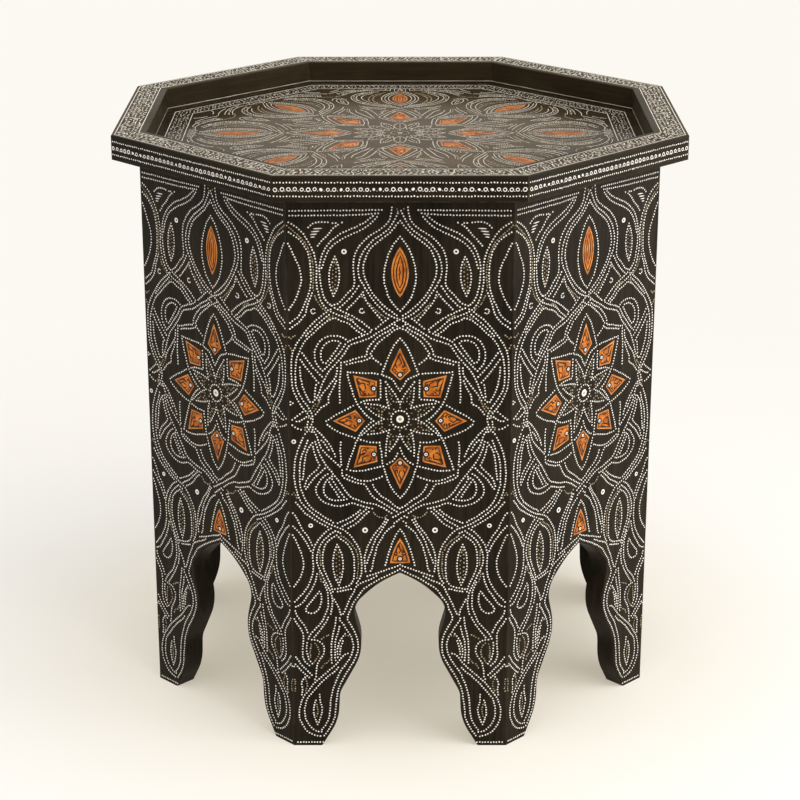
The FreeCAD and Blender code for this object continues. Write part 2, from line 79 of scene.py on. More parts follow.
# %% Read the sizes from the frame
SIDES = ["front", "front_right", "right", "back_right", "back", "back_left", "left", "front_left"]
EIGHTH = math.radians(45)
HALF_EIGHTH = EIGHTH / 2

panel_low, panel_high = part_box("side_panel_front")
rail_low, rail_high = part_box("rim_rail_front")
board_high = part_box("tray_board_front")[1]

PANEL_OUT = -panel_low.y / MM
PANEL_HALF = panel_high.x / MM
RIM_OUT = -rail_low.y / MM
RIM_IN = -rail_high.y / MM
RIM_TOP = rail_high.z / MM
TRAY_FLOOR = board_high.z / MM


def half_side(apothem):
    """Half the length of an octagon's side, from its distance to the middle."""
    return apothem * math.tan(HALF_EIGHTH)


def turned(point, angle):
    """A point turned about the upright axis of the stool."""
    x, y, z = point
    c = math.cos(angle)
    s = math.sin(angle)
    return Vector((x * c - y * s, x * s + y * c, z))


print("faces stand at", round(PANEL_OUT), "mm, rim at", round(RIM_OUT), "mm, floor at", round(TRAY_FLOOR))

# %% [markdown]
# ## Short words for node trees
#
# A material in Blender is a tree of nodes. Written out link by link, a tree is hard to read, so these
# helpers let it be written like a sum: each one adds a node, feeds it with numbers or with the output
# of another node, and hands back its own output.

# %% Helpers for node trees
COLOUR = "NodeSocketColor"
NUMBER = "NodeSocketFloat"
VECTOR = "NodeSocketVector"
MIX_FIRST = 6
MIX_SECOND = 7
MIX_COLOUR = 2


def feed(tree, socket, value):
    """Links a node's output to a socket, or writes a plain value in it."""
    if isinstance(value, bpy.types.NodeSocket):
        tree.links.new(value, socket)
    else:
        socket.default_value = value


def add(tree, kind, inputs=None, **settings):
    """A node with its settings. Inputs are given by name or by number."""
    node = tree.nodes.new(kind)
    for key, value in settings.items():
        setattr(node, key, value)
    for key, value in (inputs or {}).items():
        feed(tree, node.inputs[key], value)
    return node


def noise(tree, place, scale, detail=2.0, distortion=0.0):
    """Soft noise from 0 to 1, as spots about 1 / scale metres wide."""
    inputs = {"Vector": place, "Scale": scale, "Detail": detail, "Distortion": distortion}
    return add(tree, "ShaderNodeTexNoise", inputs).outputs["Fac"]


def remap(tree, value, low, high, to_low=0.0, to_high=1.0):
    """Stretches the span from low to high over the span from to_low to to_high, and clips it."""
    inputs = {"Value": value, "From Min": low, "From Max": high, "To Min": to_low, "To Max": to_high}
    return add(tree, "ShaderNodeMapRange", inputs).outputs["Result"]


def calc(tree, operation, first, second=0.0):
    """A sum on two numbers, such as MULTIPLY or MAXIMUM."""
    return add(tree, "ShaderNodeMath", {0: first, 1: second}, operation=operation).outputs["Value"]


def mix(tree, factor, first, second):
    """The first colour where factor is 0, the second where it is 1."""
    inputs = {"Factor": factor, MIX_FIRST: first, MIX_SECOND: second}
    return add(tree, "ShaderNodeMix", inputs, data_type="RGBA").outputs[MIX_COLOUR]


def blend(tree, factor, first, second):
    """The first shader where factor is 0, the second where it is 1."""
    return add(tree, "ShaderNodeMixShader", {0: factor, 1: first, 2: second}).outputs[0]


def vector_calc(tree, operation, first, second=(0, 0, 0), output="Vector"):
    """A sum on places or directions. LENGTH and DOT_PRODUCT hand back a number, their Value."""
    return add(tree, "ShaderNodeVectorMath", {0: first, 1: second}, operation=operation).outputs[output]


def place_in_space(tree):
    """Where a point of the surface is, in metres, in the frame of the stool."""
    return add(tree, "ShaderNodeTexCoord").outputs["Object"]


def cloud(tree, scale, low, high, to_low=0.0, to_high=1.0, detail=2.0, distortion=0.0):
    """Noise over a whole piece, with its span from low to high stretched as remap does."""
    spots = noise(tree, place_in_space(tree), scale, detail, distortion)
    return remap(tree, spots, low, high, to_low, to_high)


def new_group(name, inputs, outputs):
    """An empty node group. Inputs are (name, kind, value), outputs are (name, kind)."""
    group = bpy.data.node_groups.new(name, "ShaderNodeTree")
    for label, kind, value in inputs:
        socket = group.interface.new_socket(label, in_out="INPUT", socket_type=kind)
        socket.default_value = value
    for label, kind in outputs:
        group.interface.new_socket(label, in_out="OUTPUT", socket_type=kind)
    return group, group.nodes.new("NodeGroupInput").outputs, group.nodes.new("NodeGroupOutput").inputs


def put(tree, group, **values):
    """A node group placed in a tree. Its outputs are handed back."""
    node = tree.nodes.new("ShaderNodeGroup")
    node.node_tree = group
    for key, value in values.items():
        feed(tree, node.inputs[key], value)
    return node.outputs


print("helpers for node trees are ready")

# %% [markdown]
# ## The room: camera, light and floor
#
# The stool stands on a pale studio floor under soft light. The camera looks down on it a little, from
# the height of someone who is sitting. A long lens keeps the upright edges nearly parallel.

# %% Camera
CAMERA_PLACE = (0.0, -2.008, 0.966)
CAMERA_TILT = 70.31
CAMERA_LENS = 100.2


def link_object(thing):
    """Puts an object into the scene."""
    bpy.context.scene.collection.objects.link(thing)
    return thing


camera_data = bpy.data.cameras.new("studio_camera")
camera_data.lens = CAMERA_LENS
camera = link_object(bpy.data.objects.new("studio_camera", camera_data))
camera.location = CAMERA_PLACE
camera.rotation_euler = (math.radians(CAMERA_TILT), 0, 0)
bpy.context.scene.camera = camera
bpy.context.scene.view_settings.view_transform = "Standard"
print("camera", CAMERA_PLACE, "lens", CAMERA_LENS)

# %% [markdown]
# The light is a large soft lamp high on the right, another low on the right for the side boards, a
# weaker one on the left, one overhead and an even pale sky. Together they come to about the level at
# which a colour shows as it is written. The backdrop is warm white, and only the camera sees it, so it
# adds no light of its own.

# %% Lamps and sky
BACKDROP = (0.974, 0.947, 0.888, 1)
SKY_COLOUR = (1.0, 0.985, 0.96, 1)
SKY_LEVEL = 0.62
LAMP_WARM = (1.0, 0.98, 0.95)
LAMP_PALE = (1.0, 0.99, 0.97)
AIM_AT_SIDE = (0, 0, 0.3)
AIM_AT_TRAY = (0, 0, 0.5)


def add_lamp(name, place, aim, size, power, colour):
    """A square soft lamp at a place, turned to face a point."""
    data = bpy.data.lights.new(name, "AREA")
    data.size = size
    data.energy = power
    data.color = colour
    lamp = link_object(bpy.data.objects.new(name, data))
    lamp.location = place
    lamp.rotation_euler = (Vector(aim) - Vector(place)).to_track_quat("-Z", "Y").to_euler()


add_lamp("key_lamp", (1.3, -1.3, 2.3), AIM_AT_SIDE, size=1.6, power=24, colour=LAMP_WARM)
add_lamp("side_lamp", (2.4, -0.3, 0.8), AIM_AT_SIDE, size=1.6, power=35, colour=LAMP_WARM)
add_lamp("fill_lamp", (-1.9, -0.9, 1.6), AIM_AT_SIDE, size=1.8, power=5.5, colour=LAMP_PALE)
add_lamp("top_lamp", (0, -0.5, 2.6), AIM_AT_TRAY, size=2.0, power=21, colour=LAMP_PALE)


def seen_directly(tree):
    """1 where the camera, a mirror image or a view through glass meets the surface, else 0."""
    path = add(tree, "ShaderNodeLightPath").outputs
    mirrored = calc(tree, "MAXIMUM", path["Is Glossy Ray"], path["Is Transmission Ray"])
    return calc(tree, "MAXIMUM", path["Is Camera Ray"], mirrored)


sky = bpy.data.worlds.new("studio_sky")
sky.use_nodes = True
tree = sky.node_tree
tree.nodes.clear()
sky_light = add(tree, "ShaderNodeBackground", {"Color": SKY_COLOUR, "Strength": SKY_LEVEL})
sky_seen = add(tree, "ShaderNodeBackground", {"Color": BACKDROP})
sky_mix = blend(tree, seen_directly(tree), sky_light.outputs[0], sky_seen.outputs[0])
add(tree, "ShaderNodeOutputWorld", {"Surface": sky_mix})
bpy.context.scene.world = sky

# %% [markdown]
# The floor is matt and pale and takes the shadow, but even next to the stool almost half of what the
# camera sees of it is a glow: painted light that lifts the shadow. Away from the stool it fades into
# the backdrop, so that no horizon shows. Near the stool the glow has a warmer tone, a painted light
# that stands for the light that the wood and the orange bone throw on it.

# %% Floor
FLOOR_HALF = 6.0
FLOOR_COLOUR = (0.93, 0.912, 0.872, 1)
NEAR_GLOW = (0.97, 0.87, 0.68, 1)
FADE_FROM = 0.45
FADE_TO = 1.1
# The share of glow right next to the stool: painted light that lifts the shadow there.
FADE_LEAST = 0.45
GLOW_NEAR = 0.2
GLOW_FAR = 0.45

floor_mesh = bpy.data.meshes.new("studio_floor")
floor_corners = [(-FLOOR_HALF, -FLOOR_HALF, 0), (FLOOR_HALF, -FLOOR_HALF, 0)]
floor_corners += [(FLOOR_HALF, FLOOR_HALF, 0), (-FLOOR_HALF, FLOOR_HALF, 0)]
floor_mesh.from_pydata(floor_corners, [], [(0, 1, 2, 3)])
floor = link_object(bpy.data.objects.new("studio_floor", floor_mesh))
floor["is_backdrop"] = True

floor_material = bpy.data.materials.new("floor_paper")
floor_material.use_nodes = True
tree = floor_material.node_tree
tree.nodes.clear()
floor_distance = vector_calc(tree, "LENGTH", place_in_space(tree), output="Value")
floor_fade = remap(tree, floor_distance, FADE_FROM, FADE_TO, FADE_LEAST, 1.0)
floor_matt = add(tree, "ShaderNodeBsdfDiffuse", {"Color": FLOOR_COLOUR})
floor_far = remap(tree, floor_distance, GLOW_NEAR, GLOW_FAR)
floor_glow = add(tree, "ShaderNodeEmission", {"Color": mix(tree, floor_far, NEAR_GLOW, BACKDROP)})
floor_share = calc(tree, "MULTIPLY", floor_fade, seen_directly(tree))
floor_mix = blend(tree, floor_share, floor_matt.outputs[0], floor_glow.outputs[0])
add(tree, "ShaderNodeOutputMaterial", {"Surface": floor_mix})
floor_mesh.materials.append(floor_material)
print("floor laid,", 2 * FLOOR_HALF, "m wide")

# %% [markdown]
# ## Finishes as small recipes
#
# Wood, bone and iron share a few effects: grain that runs one way, edges worn by hands (on the orange
# bone also a painted highlight), dust with a painted sheen on what faces up, and bone that changes
# tone from piece to piece. Each effect is one node group with named inputs, built once. A material
# then joins the effects it needs to its own shader.
#
# Wood shows its grain as streaks that are long one way and fine the other. Noise does the same when
# its space is squeezed along the board. `Turn` swings the grain about the upright axis, so that one
# recipe serves all eight rails, and `Stretch` says how far each axis is squeezed.

# %% Group: long grain
FINISH_OUTPUTS = [("Color", COLOUR), ("Height", NUMBER), ("Roughness", NUMBER)]
STREAK_SHARE = 0.55

grain_inputs = [("Dark", COLOUR, (0, 0, 0, 1)), ("Light", COLOUR, (1, 1, 1, 1))]
grain_inputs += [("Stretch", VECTOR, (1, 1, 1)), ("Turn", NUMBER, 0)]
long_grain, given, result = new_group("long_grain", grain_inputs, FINISH_OUTPUTS)
tree = long_grain
place = place_in_space(tree)
swung = add(tree, "ShaderNodeVectorRotate", {"Vector": place, "Angle": given["Turn"]}, rotation_type="Z_AXIS")
along = vector_calc(tree, "MULTIPLY", swung.outputs[0], given["Stretch"])
streaks = noise(tree, along, scale=420, detail=4, distortion=0.4)
bands = noise(tree, along, scale=75, detail=3, distortion=1.2)
patches = noise(tree, place, scale=9)
fine = calc(tree, "MULTIPLY", streaks, STREAK_SHARE)
figure = calc(tree, "ADD", fine, calc(tree, "MULTIPLY", bands, 1 - STREAK_SHARE))
toned = mix(tree, remap(tree, figure, low=0.34, high=0.68), given["Dark"], given["Light"])
shade = remap(tree, patches, low=0.3, high=0.7, to_low=0.72, to_high=1.22)
shaded = add(tree, "ShaderNodeVectorMath", {0: toned, "Scale": shade}, operation="SCALE")
feed(tree, result["Color"], shaded.outputs[0])
feed(tree, result["Height"], figure)
feed(tree, result["Roughness"], remap(tree, patches, low=0.3, high=0.7, to_low=0.36, to_high=0.5))
print("group", tree.name, "has", len(tree.nodes), "nodes")

# %% [markdown]
# Hands and cloths wear the black off where two faces meet. A bevel node rounds the shading near an
# edge; where its normal leaves the true one, there is an edge. Noise breaks the line up, because
# nobody rubs evenly. On the orange bone the pale band along the edges is partly that wear and partly
# a painted highlight.

# %% Group: edge band, for wear and, on the orange bone, a painted highlight
edge_band, given, result = new_group("edge_band", [("Width", NUMBER, 0.001)], [("Mask", NUMBER)])
tree = edge_band
rounded = add(tree, "ShaderNodeBevel", {"Radius": given["Width"]}, samples=4).outputs["Normal"]
straight = add(tree, "ShaderNodeNewGeometry").outputs["Normal"]
likeness = vector_calc(tree, "DOT_PRODUCT", rounded, straight, output="Value")
edge = remap(tree, likeness, low=0.99, high=0.8)
broken = cloud(tree, scale=120, low=0.4, high=0.62, detail=3)
feed(tree, result["Mask"], calc(tree, "MULTIPLY", edge, broken))
print("group", tree.name, "has", len(tree.nodes), "nodes")

# %% [markdown]
# Dust and dull wax settle on what faces up, and the same mask also paints part of the sheen that
# makes upward faces look greyer. The mask is the upward part of the surface's normal, clouded by two
# sizes of noise.

# %% Group: settled dust and painted sheen
settled_dust_and_sheen, given, result = new_group("settled_dust_and_sheen", [("Amount", NUMBER, 0.5)], [("Mask", NUMBER)])
tree = settled_dust_and_sheen
normal = add(tree, "ShaderNodeNewGeometry").outputs["Normal"]
upward = remap(tree, add(tree, "ShaderNodeSeparateXYZ", {0: normal}).outputs["Z"], low=0.5, high=1.0)
clouds = cloud(tree, scale=22, low=0.3, high=0.7, to_low=0.55, detail=4)
specks = cloud(tree, scale=700, low=0.35, high=0.65, to_low=0.8, detail=1)
cover = calc(tree, "MULTIPLY", calc(tree, "MULTIPLY", upward, clouds), specks)
feed(tree, result["Mask"], calc(tree, "MULTIPLY", cover, given["Amount"]))
print("group", tree.name, "has", len(tree.nodes), "nodes")

# %% [markdown]
# Bone is never one colour. From piece to piece it goes from chalk to straw, and inside a piece it
# has fine fibres and small dark pores that take up the wax. `Piece` is about one piece wide, so that
# neighbours differ.

# %% Group: bone tone
FIBRE_SQUEEZE = (1, 1, 0.12)
PORE_DARKENS = 0.7

tone_inputs = [("Pale", COLOUR, (1, 1, 1, 1)), ("Warm", COLOUR, (1, 0.9, 0.7, 1))]
tone_inputs += [("Pore", COLOUR, (0, 0, 0, 1)), ("Piece", NUMBER, 0.002)]
bone_tone, given, result = new_group("bone_tone", tone_inputs, FINISH_OUTPUTS)
tree = bone_tone
place = place_in_space(tree)
per_piece = noise(tree, place, calc(tree, "DIVIDE", 1.0, given["Piece"]), detail=1)
fibres = vector_calc(tree, "MULTIPLY", place, FIBRE_SQUEEZE)
fibre = noise(tree, fibres, scale=2600, detail=2)
pores = remap(tree, noise(tree, fibres, scale=1500, detail=1), low=0.66, high=0.76)
toned = mix(tree, remap(tree, per_piece, low=0.34, high=0.66), given["Pale"], given["Warm"])
feed(tree, result["Color"], mix(tree, calc(tree, "MULTIPLY", pores, PORE_DARKENS), toned, given["Pore"]))
feed(tree, result["Height"], calc(tree, "SUBTRACT", fibre, pores))
feed(tree, result["Roughness"], remap(tree, per_piece, low=0.3, high=0.7, to_low=0.3, to_high=0.45))
print("group", tree.name, "has", len(tree.nodes), "nodes")

# %% [markdown]
# ## The wood
#
# The boards are stained black and waxed to a satin shine. The grain stands upright in the side
# boards, runs along each rail, and runs from left to right in the tray floor, so each of these gets
# its own squeeze of the same recipe. What faces up catches dust and looks greyer, and part of that
# grey is a painted sheen.

# %% Finish: blackened wood
WOOD_DARK = (0.0095, 0.0070, 0.0037, 1)
WOOD_LIGHT = (0.0256, 0.0192, 0.0112, 1)
WOOD_WORN = (0.105, 0.072, 0.044, 1)
DUST_AND_SHEEN = (0.185, 0.142, 0.092, 1)
HONEY = (0.195, 0.12, 0.050, 1)
# The honey-brown of the tray fades from the middle to its edge, which stays darker: partly wear, partly
# painted shade by the walls.
WEAR_SHADE_FROM = 0.225
WEAR_SHADE_TO = 0.12
WEAR_SHADE_LEAST = 0.1
DUST_DULLS = 0.3
TAKE_OUT_HEIGHT = (1, 1, 0)


def new_finish(name, specular, coat=0.0, coat_rough=0.1, metallic=0.0):
    """A material with one shader. Its tree and the shader's inputs are handed back too."""
    material = bpy.data.materials.new(name)
    material.use_nodes = True
    own_tree = material.node_tree
    own_tree.nodes.clear()
    shader = add(own_tree, "ShaderNodeBsdfPrincipled")
    add(own_tree, "ShaderNodeOutputMaterial", {"Surface": shader.outputs[0]})
    shader.inputs["Specular IOR Level"].default_value = specular
    shader.inputs["Coat Weight"].default_value = coat
    shader.inputs["Coat Roughness"].default_value = coat_rough
    shader.inputs["Metallic"].default_value = metallic
    return material, own_tree, shader.inputs


def raise_surface(tree, shader, height, strength, distance):
    """Lets a height from the tree catch the light."""
    bump = add(tree, "ShaderNodeBump", {"Height": height, "Strength": strength, "Distance": distance})
    feed(tree, shader["Normal"], bump.outputs["Normal"])


def black_wood(name, stretch, turn=0.0, dust=0.5, specular=0.14, shine=1.0, rub=0.7, used=None, use=0.0):
    """Stained and waxed wood with its grain the given way, honey-brown where it is used. The dust argument
    sets how much dust and painted sheen lie on what faces up.
    """
    material, tree, shader = new_finish(name, specular)
    grain = put(tree, long_grain, Dark=WOOD_DARK, Light=WOOD_LIGHT, Stretch=stretch, Turn=turn)
    worn = put(tree, edge_band, Width=0.0016)["Mask"]
    dust_sheen_mask = put(tree, settled_dust_and_sheen, Amount=dust)["Mask"]
    lighter_edges = mix(tree, calc(tree, "MULTIPLY", worn, rub), grain["Color"], WOOD_WORN)
    if used:
        lighter_edges = mix(tree, calc(tree, "MULTIPLY", used(tree), use), lighter_edges, HONEY)
    # Dust, together with a painted sheen, makes what faces up paler and greyer.
    feed(tree, shader["Base Color"], mix(tree, dust_sheen_mask, lighter_edges, DUST_AND_SHEEN))
    smooth = calc(tree, "MULTIPLY", grain["Roughness"], shine)
    feed(tree, shader["Roughness"], calc(tree, "ADD", smooth, calc(tree, "MULTIPLY", dust_sheen_mask, DUST_DULLS)))
    raise_surface(tree, shader, grain["Height"], strength=0.3, distance=0.0002)
    return material


def level_place(tree):
    """Where a point is, seen from above: its height is taken out."""
    return vector_calc(tree, "MULTIPLY", place_in_space(tree), TAKE_OUT_HEIGHT)


def middle_wear_and_edge_shade(tree):
    """1 in the middle of the tray, where cups stand and hands wipe, and little at its edge, which stays
    darker as a painted shade of the walls.
    """
    distance = vector_calc(tree, "LENGTH", level_place(tree), output="Value")
    clouded = put(tree, settled_dust_and_sheen, Amount=1.0)["Mask"]
    return calc(tree, "MULTIPLY", clouded, remap(tree, distance, WEAR_SHADE_FROM, WEAR_SHADE_TO, WEAR_SHADE_LEAST, 1.0))


def faces_the_tray(tree):
    """1 on the inner wall of the tray, where spilt tea and hands have bleached the black, else 0."""
    normal = add(tree, "ShaderNodeNewGeometry").outputs["Normal"]
    outwards = vector_calc(tree, "DOT_PRODUCT", level_place(tree), normal, output="Value")
    clouds = cloud(tree, scale=30, low=0.3, high=0.7, to_low=0.4, detail=3)
    return calc(tree, "MULTIPLY", clouds, remap(tree, outwards, low=-0.05, high=-0.15))


UPRIGHT = (1.0, 1.0, 0.07)
LYING = (0.07, 1.0, 1.0)

board_finish = black_wood("black_wood_upright", UPRIGHT, dust=0.2, specular=0.055, rub=0.3)
# The tray is honey-brown in the middle and dark near its walls: partly wear, partly painted shade.
tray_finish = black_wood(
    "black_wood_tray", LYING, dust=0.04, specular=0.016, shine=0.4, used=middle_wear_and_edge_shade, use=0.32
)
rail_finishes = []
for quarter in range(4):
    rail_finishes.append(
        black_wood(
            "black_wood_rail_%d" % quarter, LYING, -quarter * EIGHTH,
            dust=0.15, specular=0.05, used=faces_the_tray, use=0.10,
        )
    )
print("wood finishes:", 2 + len(rail_finishes))

# %% [markdown]
# Inside, where nobody looks, the glue blocks, the cleats and the tenons are bare pine that has
# yellowed and gathered dirt. The nails are hand-cut iron with a brown bloom of rust.

# %% Finish: bare wood and iron
PINE_DARK = (0.155, 0.088, 0.040, 1)
PINE_LIGHT = (0.37, 0.235, 0.120, 1)
IRON = (0.105, 0.095, 0.088, 1)
RUST = (0.115, 0.045, 0.018, 1)
BARE_ROUGHER = 0.2


def bare_wood(name, stretch, turn=0.0):
    """Old unfinished pine."""
    material, tree, shader = new_finish(name, specular=0.3)
    grain = put(tree, long_grain, Dark=PINE_DARK, Light=PINE_LIGHT, Stretch=stretch, Turn=turn)
    grimy = put(tree, edge_band, Width=0.002)["Mask"]
    feed(tree, shader["Base Color"], mix(tree, grimy, grain["Color"], PINE_DARK))
    feed(tree, shader["Roughness"], calc(tree, "ADD", grain["Roughness"], BARE_ROUGHER))
    raise_surface(tree, shader, grain["Height"], strength=0.5, distance=0.0003)
    return material


block_finish = bare_wood("bare_pine_upright", UPRIGHT)
cleat_finishes = [bare_wood("bare_pine_cleat_%d" % quarter, LYING, -quarter * EIGHTH) for quarter in range(4)]

nail_finish, tree, shader = new_finish("cut_iron", specular=0.5, metallic=0.85)
rust = cloud(tree, scale=900, low=0.42, high=0.6, detail=4)
feed(tree, shader["Base Color"], mix(tree, rust, IRON, RUST))
feed(tree, shader["Roughness"], remap(tree, rust, 0, 1, to_low=0.42, to_high=0.8))
raise_surface(tree, shader, rust, strength=0.4, distance=0.0002)
print("finishes for the inside:", 2 + len(cleat_finishes))

# %% [markdown]
# ## The bone
#
# Most pegs are pale. The bone on top of the rim and in the tray is handled more and has darkened, and
# the string round the tray is the dullest. Some pegs have gone brown because they took up wax. The big
# pieces of the stars were dyed orange with henna before they were carved. The carving is filled with
# black wax, so it reads as thin dark lines. One recipe serves all of them, with other colours.

# %% Finish: pegs, dyed bone and wax
BONE_PALE = (0.95, 0.925, 0.875, 1)
BONE_WARM = (0.84, 0.785, 0.68, 1)
BONE_PORE = (0.24, 0.17, 0.09, 1)
RIM_BONE_PALE = (0.88, 0.82, 0.71, 1)
RIM_BONE_WARM = (0.70, 0.62, 0.49, 1)
TRAY_BONE_PALE = (0.74, 0.70, 0.62, 1)
TRAY_BONE_WARM = (0.58, 0.52, 0.42, 1)
STAINED_PALE = (0.50, 0.41, 0.27, 1)
STAINED_WARM = (0.27, 0.20, 0.115, 1)
DYED_PALE = (0.70, 0.22, 0.024, 1)
DYED_WARM = (0.42, 0.105, 0.010, 1)
DYED_PORE = (0.11, 0.028, 0.006, 1)
DYED_WEAR_AND_HIGHLIGHT = (0.82, 0.47, 0.21, 1)
STRING_PALE = (0.42, 0.38, 0.31, 1)
STRING_WARM = (0.26, 0.22, 0.165, 1)
WAX_DARK = (0.012, 0.0045, 0.0015, 1)
WAX_LIGHT = (0.040, 0.013, 0.004, 1)
PEG_PITCH = 2.6
ONE_PEG = PEG_PITCH * MM
TWO_PEGS = 2 * PEG_PITCH * MM
BLOTCH_DARKENS = 0.55


def bone(name, pale, warm, pore, piece, specular=0.25):
    """Polished bone that changes tone about once per piece."""
    material, tree, shader = new_finish(name, specular)
    tone = put(tree, bone_tone, Pale=pale, Warm=warm, Pore=pore, Piece=piece)
    feed(tree, shader["Base Color"], tone["Color"])
    feed(tree, shader["Roughness"], tone["Roughness"])
    raise_surface(tree, shader, tone["Height"], strength=0.2, distance=0.0001)
    return material


peg_finish = bone("peg_bone", BONE_PALE, BONE_WARM, BONE_PORE, TWO_PEGS)
stained_finish = bone("stained_bone", STAINED_PALE, STAINED_WARM, BONE_PORE, ONE_PEG)
rim_bone_finish = bone("rim_bone", RIM_BONE_PALE, RIM_BONE_WARM, BONE_PORE, TWO_PEGS, specular=0.1)
tray_bone_finish = bone("tray_bone", TRAY_BONE_PALE, TRAY_BONE_WARM, BONE_PORE, TWO_PEGS, specular=0.1)
string_finish = bone("string_bone", STRING_PALE, STRING_WARM, BONE_PORE, piece=0.012)

dyed_finish, tree, shader = new_finish("dyed_bone", specular=0.12)
tone = put(tree, bone_tone, Pale=DYED_PALE, Warm=DYED_WARM, Pore=DYED_PORE, Piece=0.009)
blotch = cloud(tree, scale=170, low=0.5, high=0.72, detail=4, distortion=0.8)
# A pale orange band along the edges of the orange pieces: partly dye rubbed off, partly a painted highlight.
lighter_edges = put(tree, edge_band, Width=0.0014)["Mask"]
dyed = mix(tree, calc(tree, "MULTIPLY", blotch, BLOTCH_DARKENS), tone["Color"], DYED_PORE)
feed(tree, shader["Base Color"], mix(tree, lighter_edges, dyed, DYED_WEAR_AND_HIGHLIGHT))
feed(tree, shader["Roughness"], tone["Roughness"])
pitted = calc(tree, "SUBTRACT", tone["Height"], blotch)
raise_surface(tree, shader, pitted, strength=0.35, distance=0.0002)

wax_finish, tree, shader = new_finish("carving_wax", specular=0.25)
wax_tone = cloud(tree, scale=800, low=0.35, high=0.65, detail=3)
feed(tree, shader["Base Color"], mix(tree, wax_tone, WAX_DARK, WAX_LIGHT))
feed(tree, shader["Roughness"], remap(tree, wax_tone, 0, 1, to_low=0.5, to_high=0.7))
raise_surface(tree, shader, wax_tone, strength=0.3, distance=0.0001)
print("bone finishes: pale, stained, rim, tray, string, dyed and wax")

# %% [markdown]
# The finishes go into the material slots of the woodwork. The meshes stay as they are.

# %% Dress the woodwork
def dress(node, material):
    """Gives a piece of the woodwork its finish."""
    for material_slot in nodes[node].material_slots:
        material_slot.material = material


for number, side in enumerate(SIDES):
    dress("side_panel_" + side, board_finish)
    dress("rim_rail_" + side, rail_finishes[number % 4])
    dress("bone_inlay_" + side, dyed_finish)
    dress("floor_cleat_" + side, cleat_finishes[number % 4])
    dress("corner_block_%d" % (number + 1), block_finish)
for board in ("front", "mid_front", "mid_back", "back"):
    dress("tray_board_" + board, tray_finish)
dress("tray_star_inlay", dyed_finish)
dress("tray_leaf_inlay", dyed_finish)
dress("rosette_centres", stained_finish)
dress("rim_tenons", cleat_finishes[0])
dress("cleat_nails", nail_finish)
print("dressed", len(nodes), "pieces")

# %% [markdown]
# ## Lines of pegs
#
# The maker scratches a curve with a scribing iron, then drills along it at an even pitch. So a curve
# here is a few points that a smooth line passes through, and the pegs are spaced along that line.
# Where two curves cross, a second hole would break into the first, so a hole is only drilled where
# there is room for it.

# %% Helpers for lines
JOIN_GAP = 0.05


def smooth_line(points, steps=10):
    """A fine run of points on a smooth curve that passes through the given ones.

    A curve whose two ends are nearer than JOIN_GAP is taken as closed."""
    given_points = [Vector(point) for point in points]
    if len(given_points) < 3:
        return given_points
    closed = (given_points[0] - given_points[-1]).length < JOIN_GAP
    before = given_points[-2] if closed else 2 * given_points[0] - given_points[1]
    after = given_points[1] if closed else 2 * given_points[-1] - given_points[-2]
    chain = [before] + given_points + [after]
    line = []
    for i in range(1, len(chain) - 2):
        a, b, c, d = chain[i - 1 : i + 3]
        for step in range(steps):
            t = step / steps
            bend = (2 * a - 5 * b + 4 * c - d) * t * t + (3 * b - a - 3 * c + d) * t * t * t
            line.append(b + 0.5 * ((c - a) * t + bend))
    return line + [given_points[-1]]


def spaced(line, pitch):
    """Points along a fine line, one every pitch, with the steps evened out."""
    lengths = [(b - a).length for a, b in zip(line, line[1:])]
    count = max(1, round(sum(lengths) / pitch))
    pitch = sum(lengths) / count
    spots = [line[0].copy()]
    walked = 0.0
    for a, b, length in zip(line, line[1:], lengths):
        while length > 0 and len(spots) < count and walked + length >= len(spots) * pitch:
            spots.append(a.lerp(b, (len(spots) * pitch - walked) / length))
        walked += length
    return spots + [line[-1].copy()]


class Drill:
    """Keeps the holes of one face, and drills a new one only where there is room."""

    def __init__(self, gap):
        self.gap = gap
        self.cells = {}
        self.holes = []

    def has_room(self, spot, gap):
        """True when no hole is nearer than gap."""
        column, row = int(spot[0] // self.gap), int(spot[1] // self.gap)
        reach = int(gap // self.gap) + 1
        for i in range(column - reach, column + reach + 1):
            for j in range(row - reach, row + reach + 1):
                for x, y in self.cells.get((i, j), []):
                    if math.hypot(spot[0] - x, spot[1] - y) < gap:
                        return False
        return True

    def drill(self, spot, gap=None):
        """Drills a hole if there is room, and tells whether it did."""
        if not self.has_room(spot, gap or self.gap):
            return False
        self.cells.setdefault((int(spot[0] // self.gap), int(spot[1] // self.gap)), []).append(tuple(spot))
        self.holes.append(tuple(spot))
        return True


print("helpers for lines are ready")

# %% [markdown]
# ## One shape, stamped many times
#
# A peg is a short eight-sided pin with a domed head. A ring is a slice of a hollow bone, a thin ring
# one with a wider hole, and a disc is a flat drop of wax. Each starts a little under the face, so that
# the wood closes around it. All the pegs of a face are one mesh, because thousands of separate objects
# would be slow to handle. Each peg also gets its own small square in a second map, so that its
# colours can be painted without touching its neighbour's.

# %% Shapes to stamp
PEG_SIDES = 8
SINK = -0.2
HEAD_EDGE = 0.1
HEAD_TOP = 0.22
PEG_MAP = "OFBake"
SHEET_MIDDLE = np.array((0.45, 0.45))
SHEET_CORNER = np.array((0.93, 0.93))
FOOT_ON_MAP = 0.055
HOLE_ON_MAP = 0.025
RING_SIDES = 14
RING_SHOULDER = 0.2
RING_TOP = 0.3
DISC_SIDES = 12
DISC_TOP = 0.05


def ring_of_points(radius, height, sides):
    """Points of one circle, in peg radii, at a height in millimetres."""
    angles = [2 * math.pi * i / sides for i in range(sides)]
    return [(radius * math.cos(a), radius * math.sin(a), height) for a in angles]


def on_the_map(middle, spread, sides):
    """A circle of corners on the map."""
    return [middle + np.array(point[:2]) for point in ring_of_points(spread, 0, sides)]


